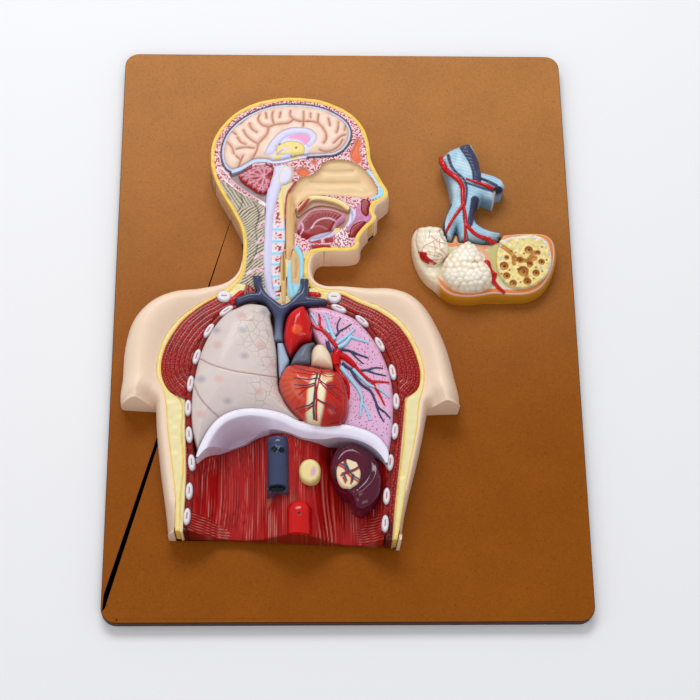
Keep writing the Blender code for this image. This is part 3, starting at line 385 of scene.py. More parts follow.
def add_node(tree: bpy.types.NodeTree, kind: str, settings: dict | None = None,
             links: dict | None = None) -> bpy.types.Node:
    """Adds one shader node.

    Args:
        tree: The material's node tree.
        kind: The node's type name.
        settings: Properties, or input values where the key is an input's name or number.
        links: Input name or number to the output socket that feeds it.

    Returns:
        The new node.
    """
    node = tree.nodes.new(kind)
    for key, value in (settings or {}).items():
        if isinstance(key, str) and hasattr(node, key):
            setattr(node, key, value)
        else:
            node.inputs[key].default_value = value
    for key, socket in (links or {}).items():
        tree.links.new(socket, node.inputs[key])
    return node


class SpeckKind(Enum):
    """How a finish breaks up its colour."""

    NONE = "none"
    SPONGE = "sponge"
    DOTS = "dots"
    POLYGONS = "polygons"


@dataclass(frozen=True)
class PaintedResin:
    """Cast polyurethane resin, painted by hand and lacquered.

    The lacquer gives a clear soft highlight over the paint, and the brush leaves the colour a
    little uneven. The colour itself is painted on the piece.
    """

    name: str
    roughness: float = 0.38
    coat: float = 0.175
    speck: SpeckKind = SpeckKind.NONE
    speck_colour: str = "#B02030"
    speck_size: float = 1.6
    speck_share: float = 0.45
    grain: float = 0.5
    bump: float = 0.12
    paint_gloss: float = 0.12
    coat_roughness: float = 0.12

    def material(self) -> bpy.types.Material:
        """Builds the Blender material once and returns it."""
        known = bpy.data.materials.get(self.name)
        if known:
            return known
        made = bpy.data.materials.new(self.name)
        made.use_nodes = True
        tree = made.node_tree
        shader = tree.nodes["Principled BSDF"]
        shader.inputs["Roughness"].default_value = self.roughness
        shader.inputs["Specular IOR Level"].default_value = self.paint_gloss
        shader.inputs["Coat Weight"].default_value = self.coat
        shader.inputs["Coat Roughness"].default_value = self.coat_roughness
        place = add_node(tree, "ShaderNodeTexCoord")
        paint = add_node(tree, "ShaderNodeAttribute", {"attribute_name": "paint"})
        uneven = add_node(tree, "ShaderNodeTexNoise", {"Scale": 1 / (9 * MM), "Detail": 3.0},
                          {"Vector": place.outputs["Object"]})
        spread = add_node(tree, "ShaderNodeMapRange", {
            "To Min": 1 - 0.12 * self.grain, "To Max": 1 + 0.12 * self.grain},
            {"Value": uneven.outputs["Fac"]})
        toned = add_node(tree, "ShaderNodeVectorMath", {"operation": "MULTIPLY"},
                         {0: paint.outputs["Color"], 1: spread.outputs["Result"]})
        colour = toned.outputs["Vector"]
        if self.speck is not SpeckKind.NONE:
            colour = self._specks(tree, place.outputs["Object"], colour)
        tree.links.new(colour, shader.inputs["Base Color"])
        fine = add_node(tree, "ShaderNodeTexNoise", {"Scale": 1 / (2.2 * MM), "Detail": 2.0},
                        {"Vector": place.outputs["Object"]})
        bump = add_node(tree, "ShaderNodeBump", {"Strength": self.bump, "Distance": 0.4 * MM},
                        {"Height": fine.outputs["Fac"]})
        tree.links.new(bump.outputs["Normal"], shader.inputs["Normal"])
        return made

    def _specks(self, tree: bpy.types.NodeTree, place: bpy.types.NodeSocket,
                colour: bpy.types.NodeSocket) -> bpy.types.NodeSocket:
        """Mixes the finish's specks into a colour, where the piece asks for them.

        Args:
            tree: The material's node tree.
            place: The Object coordinates.
            colour: The colour under the specks.

        Returns:
            The socket of the speckled colour.
        """
        amount = add_node(tree, "ShaderNodeAttribute", {"attribute_name": "speck"})
        scale = 1 / (self.speck_size * MM)
        if self.speck is SpeckKind.SPONGE:
            pattern = add_node(tree, "ShaderNodeTexNoise", {"Scale": scale, "Detail": 1.0},
                               {"Vector": place}).outputs["Fac"]
            low, high = 1 - self.speck_share - 0.03, 1 - self.speck_share + 0.03
        elif self.speck is SpeckKind.DOTS:
            cells = add_node(tree, "ShaderNodeTexVoronoi", {"Scale": scale}, {"Vector": place})
            pattern = cells.outputs["Distance"]
            low, high = self.speck_share, self.speck_share - 0.1
        else:
            cells = add_node(tree, "ShaderNodeTexVoronoi",
                             {"feature": "DISTANCE_TO_EDGE", "Scale": scale}, {"Vector": place})
            pattern = cells.outputs["Distance"]
            low, high = self.speck_share, self.speck_share * 0.4
        ramp = add_node(tree, "ShaderNodeMapRange", {"From Min": low, "From Max": high},
                        {"Value": pattern})
        share = add_node(tree, "ShaderNodeMath", {"operation": "MULTIPLY"},
                         {0: ramp.outputs["Result"], 1: amount.outputs["Fac"]})
        mixed = add_node(tree, "ShaderNodeMix", {"data_type": "RGBA"},
                         {0: share.outputs["Value"], 6: colour})
        mixed.inputs[7].default_value = (*linear(self.speck_colour), 1.0)
        return mixed.outputs[2]


PLAIN = PaintedResin("painted_resin")
GLOSSY = PaintedResin("painted_resin_gloss", 0.3, 0.35, bump=0.06)
WET = PaintedResin("painted_resin_wet", 0.2, 0.56, bump=0.04)


# ---------------------------------------------------------------- modelling tools


def deselect_all() -> None:
    """Leaves object mode with nothing selected."""
    if bpy.context.mode != "OBJECT":
        bpy.ops.object.mode_set(mode="OBJECT")
    bpy.ops.object.select_all(action="DESELECT")


def make_active(piece: bpy.types.Object) -> None:
    """Selects one piece alone."""
    deselect_all()
    piece.select_set(True)
    bpy.context.view_layer.objects.active = piece


def node_loops(node: str, height: float | None = None) -> list[np.ndarray]:
    """Reads the loops round a CAD node's level faces at one height.

    Args:
        node: The CAD node's name.
        height: The faces' height in millimetres; the lowest faces without it.

    Returns:
        The closed loops, in millimetres, longest first.
    """
    shape = bmesh.new()
    shape.from_mesh(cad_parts[node].data)
    bmesh.ops.remove_doubles(shape, verts=shape.verts, dist=1e-6)
    level = min(v.co.z for v in shape.verts) if height is None else height * MM
    flat = {f for f in shape.faces if all(abs(v.co.z - level) < 0.01 * MM for v in f.verts)}
    ring: dict[bmesh.types.BMVert, list[bmesh.types.BMVert]] = {}
    for edge in shape.edges:
        if sum(f in flat for f in edge.link_faces) == 1:
            for here, there in (edge.verts, reversed(edge.verts)):
                ring.setdefault(here, []).append(there)
    loops = []
    while ring:
        here = next(iter(ring))
        loop = []
        while here is not None:
            loop.append((here.co.x / MM, here.co.y / MM))
            following = [v for v in ring.pop(here) if v in ring]
            here = following[0] if following else None
        loops.append(np.array(loop))
    shape.free()
    return sorted(loops, key=lambda p: -float(np.sum(np.linalg.norm(np.diff(p, axis=0), axis=1))))


def node_outline(node: str) -> np.ndarray:
    """A CAD node's outline as seen from the front, read off its underside."""
    return node_loops(node)[0]


def node_top(node: str) -> float:
    """A CAD node's highest point, in millimetres."""
    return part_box(node)[1].z / MM


def node_base(node: str) -> float:
    """A CAD node's lowest point, in millimetres."""
    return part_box(node)[0].z / MM


def rim_copy(x: np.ndarray, y: np.ndarray, first: int) -> np.ndarray:
    """Finds, for each vertex from first on, the earlier vertex at the same place."""
    places = {place: i for i, place in enumerate(zip(x[:first], y[:first]))}
    return np.array([places[place] for place in zip(x[first:], y[first:])])


GROUNDS: dict[str, np.ndarray] = {}


def relief(name: str, carve: Callable[[Face], None], finish: PaintedResin, nodes: Sequence[str],
           slot: str, seated: Sequence[str | np.ndarray] = (), step: float = STEP,
           grow: float = GROW) -> bpy.types.Object:
    """Models one relief piece in the outline of its first CAD node and hangs it on the frame.

    Args:
        name: The piece's name.
        carve: Sets the heights and colours of its face.
        finish: Its finish.
        nodes: The CAD nodes that it stands for; the first gives its outline and its base.
        slot: The record's material slot; passed on, but not used.
        seated: CAD nodes seated in it, or outlines, under which it is left out.
        step: The grid's spacing.
        grow: How far it reaches past the outline, to meet its neighbours.

    Returns:
        The finished piece.
    """
    piece = carved(name, carve, node_outline(nodes[0]), node_base(nodes[0]), seated, step, grow)
    return finish_piece(piece, finish.material(), nodes, slot)


def carved(name: str, carve: Callable[[Face], None], outline: Path, base: float,
           seated: Sequence[str | np.ndarray] = (), step: float = STEP,
           grow: float = GROW) -> bpy.types.Object:
    """Models one relief: a fine grid trimmed to its outline, carved, walled and painted.

    Args:
        name: The piece's name.
        carve: Sets the heights and colours of its face.
        outline: Its outline.
        base: The height of its underside.
        seated: CAD nodes seated in it, or outlines, under which it is left out.
        step: The grid's spacing.
        grow: How far it reaches past the outline, to meet its neighbours.

    Returns:
        The piece, without a finish.
    """
    edge = grown_line(smooth_path(outline, closed=True), grow)
    low, high = edge.min(axis=0) - 2 * step, edge.max(axis=0) + 2 * step
    cells = np.ceil((high - low) / step).astype(int)
    deselect_all()
    bpy.ops.mesh.primitive_grid_add(x_subdivisions=int(cells[0]), y_subdivisions=int(cells[1]), size=1)
    piece = bpy.context.object
    piece.name = piece.data.name = name
    mesh = piece.data
    co = read_places(mesh)
    co[:, :2] = low + (co[:, :2] + 0.5) * cells * step
    gap = line_distance(co[:, 0], co[:, 1], edge, True, 3 * step)[0]
    outside = ~is_inside(co[:, 0], co[:, 1], edge) & (gap > 0.45 * step)
    holes = [smooth_path(
        node_outline(node) if isinstance(node, str) else node, closed=True) for node in seated]
    for loop in holes:
        gap = line_distance(co[:, 0], co[:, 1], loop, True, 4 * step)[0]
        outside |= is_inside(co[:, 0], co[:, 1], loop) & (gap > 0.45 * step)
    write_places(mesh, co)
    select_vertices(mesh, outside)
    bpy.ops.object.mode_set(mode="EDIT")
    bpy.ops.mesh.delete(type="VERT")
    bpy.ops.mesh.delete_loose(use_verts=True, use_edges=True, use_faces=False)
    bpy.ops.mesh.select_all(action="SELECT")
    bpy.ops.mesh.region_to_loop()
    bpy.ops.object.mode_set(mode="OBJECT")
    co = read_places(mesh)
    rim = np.zeros(len(co), bool)
    mesh.vertices.foreach_get("select", rim)
    ring = np.flatnonzero(rim)
    loops = [edge, *holes]
    gaps = np.array([line_distance(co[ring, 0], co[ring, 1], loop, True, 3 * step)[0] for loop in loops])
    nearest = np.argmin(gaps, axis=0)
    for number, loop in enumerate(loops):
        moved = ring[(nearest == number) & (gaps[number] < 1.45 * step)]
        if len(moved):
            co[moved, :2] = nearest_on(co[moved, :2], loop)
    depth = line_distance(co[:, 0], co[:, 1], edge, True)[0]
    depth[ring[nearest == 0]] = 0
    face = Face(co[:, 0], co[:, 1], depth)
    carve(face)
    co[:, 2] = np.maximum(face.z, base + 0.5)
    GROUNDS[name] = co.copy()
    write_places(mesh, co * MM)
    bpy.ops.object.mode_set(mode="EDIT")
    bpy.ops.mesh.extrude_region_move()
    bpy.ops.object.mode_set(mode="OBJECT")
    count = len(co)
    co = read_places(mesh)
    source = rim_copy(co[:, 0], co[:, 1], count)
    co[count:, 2] = base * MM
    write_places(mesh, co)
    bpy.ops.object.mode_set(mode="EDIT")
    bpy.ops.mesh.fill(use_beauty=False)
    bpy.ops.mesh.select_all(action="SELECT")
    bpy.ops.mesh.normals_make_consistent(inside=False)
    bpy.ops.object.mode_set(mode="OBJECT")
    lay_paint(piece, np.concatenate([face.colour, face.colour[source]]),
              np.concatenate([face.speck, face.speck[source]]))
    return piece


def landed(path: Path, ground: str, level: float) -> np.ndarray:
    """Drops a line drawn on a flat template onto a carved piece.

    Args:
        path: The line's points.
        ground: The name of the carved piece.
        level: The template's height.

    Returns:
        The line's points on the piece's face, one row each.
    """
    drawn = smooth_path(path, 1.5)
    places = GROUNDS[ground]
    spot = drawn.copy()
    for _ in range(4):
        near = np.argmin(np.hypot(places[:, 0] - spot[:, :1], places[:, 1] - spot[:, 1:]), axis=1)
        z = places[near, 2]
        lift = ((z - level) / (EYE[2] - level))[:, None]
        spot = (drawn + np.array(EYE[:2]) * lift) / (1 + lift)
    z = np.convolve(np.pad(z, 2, mode="edge"), np.full(5, 0.2), mode="valid")
    return np.column_stack([spot, z])


@dataclass(frozen=True)
class Vessel:
    """One branch of a vessel tree: its line on the template, its widths and its colour."""

    path: tuple[Point, ...]
    start: float
    end: float
    colour: str


def vessel_tree(name: str, vessels: Sequence[Vessel], ground: str, level: float, finish: PaintedResin,
                nodes: Sequence[str], slot: str, sunk: float = 0.25) -> bpy.types.Object:
    """Models branching vessels as round tapered rods that lie half sunk in a carved piece.

    Args:
        name: The piece's name.
        vessels: The branches.
        ground: The name of the carved piece that they lie on.
        level: The template's height.
        finish: Their finish.
        nodes: The CAD nodes that the tree stands for.
        slot: The record's material slot; passed on, but not used.
        sunk: How far a rod's axis lies above the face, as a share of its radius.

    Returns:
        The finished piece.
    """
    rods = []
    for vessel in vessels:
        line = landed(vessel.path, ground, level)
        radii = np.linspace(vessel.start, vessel.end, len(line)) / 2
        curve = bpy.data.curves.new(name, "CURVE")
        curve.dimensions = "3D"
        curve.bevel_depth = MM
        curve.bevel_resolution = 3
        curve.use_fill_caps = True
        spline = curve.splines.new("POLY")
        spline.points.add(len(line) - 1)
        for point, (x, y, z), radius in zip(spline.points, line, radii):
            point.co = (x * MM, y * MM, (z + sunk * radius) * MM, 1.0)
            point.radius = radius
        rod = bpy.data.objects.new(name, curve)
        bpy.context.scene.collection.objects.link(rod)
        make_active(rod)
        bpy.ops.object.convert(target="MESH")
        rod = bpy.context.object
        lay_paint(rod, np.tile(linear(vessel.colour), (len(rod.data.vertices), 1)),
                  np.zeros(len(rod.data.vertices)))
        rods.append(rod)
    piece = join(name, rods)
    return finish_piece(piece, finish.material(), nodes, slot, 80)


def join(name: str, parts: Sequence[bpy.types.Object]) -> bpy.types.Object:
    """Joins meshes to one piece of that name."""
    deselect_all()
    for part in parts:
        part.select_set(True)
    bpy.context.view_layer.objects.active = parts[0]
    if len(parts) > 1:
        bpy.ops.object.join()
    parts[0].name = parts[0].data.name = name
    return parts[0]


def read_places(mesh: bpy.types.Mesh) -> np.ndarray:
    """The places of a mesh's vertices, one row each."""
    co = np.zeros(len(mesh.vertices) * 3)
    mesh.vertices.foreach_get("co", co)
    return co.reshape(-1, 3)


def write_places(mesh: bpy.types.Mesh, co: np.ndarray) -> None:
    """Moves a mesh's vertices to the rows of co."""
    mesh.vertices.foreach_set("co", np.ascontiguousarray(co).ravel())
    mesh.update()


def select_vertices(mesh: bpy.types.Mesh, chosen: np.ndarray) -> None:
    """Selects just the chosen vertices, and no edge or face."""
    mesh.polygons.foreach_set("select", np.zeros(len(mesh.polygons), bool))
    mesh.edges.foreach_set("select", np.zeros(len(mesh.edges), bool))
    mesh.vertices.foreach_set("select", chosen)


def grown_line(line: np.ndarray, room: float) -> np.ndarray:
    """Moves a closed, finely stepped line outwards by room."""
    ahead = np.roll(line, -1, axis=0)
    area = float(np.sum(line[:, 0] * ahead[:, 1] - ahead[:, 0] * line[:, 1]))
    along = ahead - np.roll(line, 1, axis=0)
    normal = np.stack([along[:, 1], -along[:, 0]], axis=1) * (1 if area > 0 else -1)
    return line + room * normal / np.maximum(np.linalg.norm(normal, axis=1), 1e-9)[:, None]


def nearest_on(places: np.ndarray, edge: np.ndarray) -> np.ndarray:
    """Moves places to the nearest points of a closed line."""
    a, b = edge, np.roll(edge, -1, axis=0)
    d = b - a
    at = places[:, None, :] - a[None]
    t = clamp(np.sum(at * d, axis=2) / np.maximum(np.sum(d * d, axis=1), 1e-12))
    foot = a[None] + t[..., None] * d
    best = np.argmin(np.linalg.norm(places[:, None, :] - foot, axis=2), axis=1)
    return foot[np.arange(len(places)), best]


def lay_paint(piece: bpy.types.Object, colour: np.ndarray, speck: np.ndarray) -> None:
    """Stores a colour and a share of specks on each of the piece's vertices."""
    paints = piece.data.color_attributes.new("paint", "FLOAT_COLOR", "POINT")
    rgba = np.concatenate([clamp(colour), np.ones((len(colour), 1))], axis=1)
    paints.data.foreach_set("color", rgba.ravel())
    specks = piece.data.attributes.new("speck", "FLOAT", "POINT")
    specks.data.foreach_set("value", clamp(speck))


def finish_piece(piece: bpy.types.Object, material: bpy.types.Material, nodes: Sequence[str],
                 slot: str, angle: float = 50.0) -> bpy.types.Object:
    """Shades a piece smooth, dresses it and hangs it on the frame.

    Args:
        piece: The piece, in place.
        material: Its material.
        nodes: The CAD nodes that it stands for.
        slot: The record's material slot; not used.
        angle: Edges sharper than this stay sharp.

    Returns:
        The piece.
    """
    make_active(piece)
    bpy.ops.object.shade_smooth_by_angle(angle=math.radians(angle))
    piece.data.materials.clear()
    piece.data.materials.append(material)
    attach(piece, "root")
    if nodes:
        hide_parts(*nodes)
    LOG.info("%s: %d faces", piece.name, len(piece.data.polygons))
    return piece


# ---------------------------------------------------------------- the board, the skin and the fat


@dataclass(frozen=True)
class BoardLacquer:
    """Medium-density fibreboard, stained chestnut and lacquered half gloss.

    The stain soaks in unevenly, so the face is mottled and finely fibred; the sawn edges take more
    of it and are dark. The face runs from low at the foot to high at the head end; the lighter head
    end is a painted sheen of the overhead light.
    """

    name: str = "lacquered_fibreboard"
    # low and high: the face's colour at the foot and at the head; the lighter head end is painted sheen of
    # the overhead light.
    low: str = "#8E4C04"
    high: str = "#B0743A"
    edge: str = "#3A1404"
    face_height: float = 12.0
    roughness: float = 0.45

    def material(self) -> bpy.types.Material:
        """Builds the Blender material."""
        made = bpy.data.materials.new(self.name)
        made.use_nodes = True
        tree = made.node_tree
        shader = tree.nodes["Principled BSDF"]
        shader.inputs["Roughness"].default_value = self.roughness
        shader.inputs["Specular IOR Level"].default_value = 0.1
        place = add_node(tree, "ShaderNodeTexCoord").outputs["Object"]
        parts = add_node(tree, "ShaderNodeSeparateXYZ", links={0: place})
        # Painted sheen: the face is mixed from low at the foot to high at the head, lighter where the
        # overhead light glances off it.
        height = add_node(tree, "ShaderNodeMapRange", {
            "interpolation_type": "SMOOTHSTEP", "From Min": -0.16, "From Max": 0.3},
            {"Value": parts.outputs["Y"]}).outputs["Result"]
        sheen_gradient = add_node(tree, "ShaderNodeMix", {"data_type": "RGBA"}, {0: height})
        sheen_gradient.inputs[6].default_value = (*linear(self.low), 1.0)
        sheen_gradient.inputs[7].default_value = (*linear(self.high), 1.0)
        on_face = add_node(tree, "ShaderNodeMath", {
            "operation": "GREATER_THAN", 1: (self.face_height - 0.1) * MM}, {0: parts.outputs["Z"]})
        shown = add_node(tree, "ShaderNodeMix", {"data_type": "RGBA"},
                         {0: on_face.outputs[0], 7: sheen_gradient.outputs[2]})
        shown.inputs[6].default_value = (*linear(self.edge), 1.0)
        cloud = add_node(tree, "ShaderNodeTexNoise", {"Scale": 1 / (45 * MM), "Detail": 4.0},
                         {"Vector": place})
        fibre = add_node(tree, "ShaderNodeTexNoise", {
            "Scale": 1 / (1.6 * MM), "Detail": 4.0, "Roughness": 0.7}, {"Vector": place})
        dark = add_node(tree, "ShaderNodeTexVoronoi", {"Scale": 1 / (7 * MM)}, {"Vector": place})
        patchy = add_node(tree, "ShaderNodeMapRange", {"To Min": 0.86, "To Max": 1.14},
                          {"Value": cloud.outputs["Fac"]}).outputs["Result"]
        fine = add_node(tree, "ShaderNodeMapRange", {
            "From Min": 0.3, "From Max": 0.7, "To Min": 0.84, "To Max": 1.16},
            {"Value": fibre.outputs["Fac"]}).outputs["Result"]
        flecks = add_node(tree, "ShaderNodeMapRange", {"From Min": 0.05, "From Max": 0.16, "To Min": 0.72},
                          {"Value": dark.outputs["Distance"]}).outputs["Result"]
        tone = add_node(tree, "ShaderNodeMath", {"operation": "MULTIPLY"}, {0: patchy, 1: fine})
        tone = add_node(tree, "ShaderNodeMath", {"operation": "MULTIPLY"}, {0: tone.outputs[0], 1: flecks})
        stained = add_node(tree, "ShaderNodeVectorMath", {"operation": "SCALE"},
                           {0: shown.outputs[2], "Scale": tone.outputs[0]})
        tree.links.new(stained.outputs["Vector"], shader.inputs["Base Color"])
        bump = add_node(tree, "ShaderNodeBump", {"Strength": 0.12, "Distance": 0.3 * MM},
                        {"Height": fibre.outputs["Fac"]})
        tree.links.new(bump.outputs["Normal"], shader.inputs["Normal"])
        return made


@dataclass(frozen=True)
class ZincSteel:
    """Zinc-plated steel, bright with a faint brushed grey."""

    name: str = "zinc_plated_steel"
    colour: str = "#B9BBBD"
    roughness: float = 0.32

    def material(self) -> bpy.types.Material:
        """Builds the Blender material."""
        made = bpy.data.materials.new(self.name)
        made.use_nodes = True
        shader = made.node_tree.nodes["Principled BSDF"]
        shader.inputs["Base Color"].default_value = (*linear(self.colour), 1.0)
        shader.inputs["Metallic"].default_value = 1.0
        shader.inputs["Roughness"].default_value = self.roughness
        return made


@dataclass
class Board:
    """The board and the screws in its back."""

    edge_round: float = 1.6
    rim: float = 4.0
    corner: float = 15.0
    screws: tuple[str, ...] = (
        "figure_screw_1", "figure_screw_2", "figure_screw_3", "figure_screw_4", "lobule_screw_1",
        "lobule_screw_2")

    def build(self) -> None:
        """Builds the board and dresses the screws."""
        finish = BoardLacquer()
        deselect_all()
        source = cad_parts["base_board"]
        piece = bpy.data.objects.new("board", source.data.copy())
        bpy.context.scene.collection.objects.link(piece)
        make_active(piece)
        bpy.ops.object.mode_set(mode="EDIT")
        bpy.ops.mesh.select_all(action="SELECT")
        bpy.ops.mesh.remove_doubles(threshold=0.005 * MM)
        bpy.ops.mesh.dissolve_limited(angle_limit=math.radians(1))
        bpy.ops.mesh.select_mode(type="FACE")
        bpy.ops.mesh.select_all(action="DESELECT")
        bpy.ops.object.mode_set(mode="OBJECT")
        for face in piece.data.polygons:
            face.select = abs(face.normal.z) > 0.99 and face.area > (100 * MM) ** 2
        bpy.ops.object.mode_set(mode="EDIT")
        bpy.ops.mesh.inset(thickness=self.rim * MM)
        bpy.ops.mesh.select_mode(type="VERT")
        bpy.ops.object.mode_set(mode="OBJECT")
        bevel = piece.modifiers.new("edge", "BEVEL")
        bevel.width = self.edge_round * MM
        bevel.segments = 3
        bevel.limit_method = "WEIGHT"
        weights = piece.data.attributes.new("bevel_weight_edge", "FLOAT", "EDGE")
        half = [c / 2 for c in piece.dimensions]
        walls = [set(face.vertices) for face in piece.data.polygons if abs(face.normal.z) < 0.5]
        for edge in piece.data.edges:
            ends = [piece.data.vertices[i].co for i in edge.vertices]
            flat = abs(ends[0].z - ends[1].z) < 0.1 * MM
            upright = [face for face in walls if set(edge.vertices) <= face]
            outer = all(abs(p.x) > half[0] - self.corner * MM or abs(p.y) > half[1] - self.corner * MM
                        for p in ends)
            weights.data[edge.index].value = float(flat and outer and bool(upright))
        bpy.ops.object.modifier_apply(modifier="edge")
        finish_piece(piece, finish.material(), ["base_board"], "board_wood", 12)
        steel = ZincSteel().material()
        for name in self.screws:
            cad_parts[name].material_slots[0].material = steel


@dataclass
class Figure:
    """The outer body: the skin with its shoulders and arm ends, and the layer of fat inside it."""

    board_top: float = 12.0
    tray_floor: float = 15.3
    shoulder_rise: float = 11.0
    shoulder_width: float = 40.0

    def build(self) -> None:
        """Builds the skin and the fat."""
        opening = node_loops("body_shell", self.tray_floor)[0]
        start = int(np.argmin(np.hypot(opening[:, 0] + 157.5, opening[:, 1] + 222)))
        section = np.roll(opening, -start, axis=0)
        section = section[section[:, 1] > -219]
        loop = smooth_path(node_outline("body_shell"), closed=True)
        middle = (loop + np.roll(loop, -1, axis=0)) / 2
        cut = (middle[:, 1] < -219) | (
            (middle[:, 1] < -93.5) & (middle[:, 1] > -100.6) & ((middle[:, 0] > 76.5) |
            (middle[:, 0] < -182)))
        self.round_edge = [(a, b) for a, b, c in zip(loop, np.roll(loop, -1, axis=0), cut) if not c]
        self.section = smooth_path(section, closed=False)
        self.opening = opening
        relief("skin", self.skin, PaintedResin("painted_resin_skin", 0.42, 0.084, grain=0.25, bump=0.03),
               ["body_shell"], "skin", seated=[opening], grow=0.0)
        relief("fat_layer", self.fat, PaintedResin("painted_resin_fat", 0.4), ["fat_rim"], "fat")

    def skin(self, face: Face) -> None:
        """Carves and paints the skin."""
        a = np.array([p for p, _ in self.round_edge])
        d = np.array([q for _, q in self.round_edge]) - a
        outer = np.full(len(face.x), 1e9)
        for (ax, ay), (dx, dy) in zip(a, d):
            t = clamp(((face.x - ax) * dx + (face.y - ay) * dy) / max(dx * dx + dy * dy, 1e-12))
            outer = np.minimum(outer, np.hypot(face.x - ax - t * dx, face.y - ay - t * dy))
        inner = line_distance(face.x, face.y, self.section, False)[0]
        width = outer + inner
        share = outer / np.maximum(width, 1e-6)
        shoulder = clamp((width - 6) / (self.shoulder_width - 6)) ** 1.2 * (face.y < 40)
        bulge = self.shoulder_rise * shoulder * np.sin(np.pi * clamp(share) ** 0.9) ** 1.1
        radius = np.clip(width * 0.85, 2.2, 19)
        edge = np.sqrt(1 - (1 - clamp(outer / radius)) ** 2)
        face.z = self.board_top + 1 + (SECTION - self.board_top - 1 + bulge) * edge
        open_end = is_inside(face.x, face.y, grown_line(self.opening, 0.6)) & (face.y < -219)
        face.z[open_end] = self.tray_floor
        face.paint("#F5DAC0")
        face.paint("#560A0A", open_end)
        face.paint("#E9C4A4", 0.5 * clamp(1 - outer / 10) * shoulder * ~open_end)

    def fat(self, face: Face) -> None:
        """Carves and paints the fat."""
        face.flat(SECTION + 0.4 * face.noise(5, seed=4))
        face.soften(1.0, 0.5)
        face.paint("#F4CE60")
        low = clamp((30 - face.y) / 20)
        face.paint("#EFE2AC", low * clamp((face.depth - 1.0) / 0.6))
        face.paint("#E2AE44", 0.25 * clamp(face.noise(4, seed=5) * 2 - 0.6) * (1 - low))


# ---------------------------------------------------------------- the head and the neck


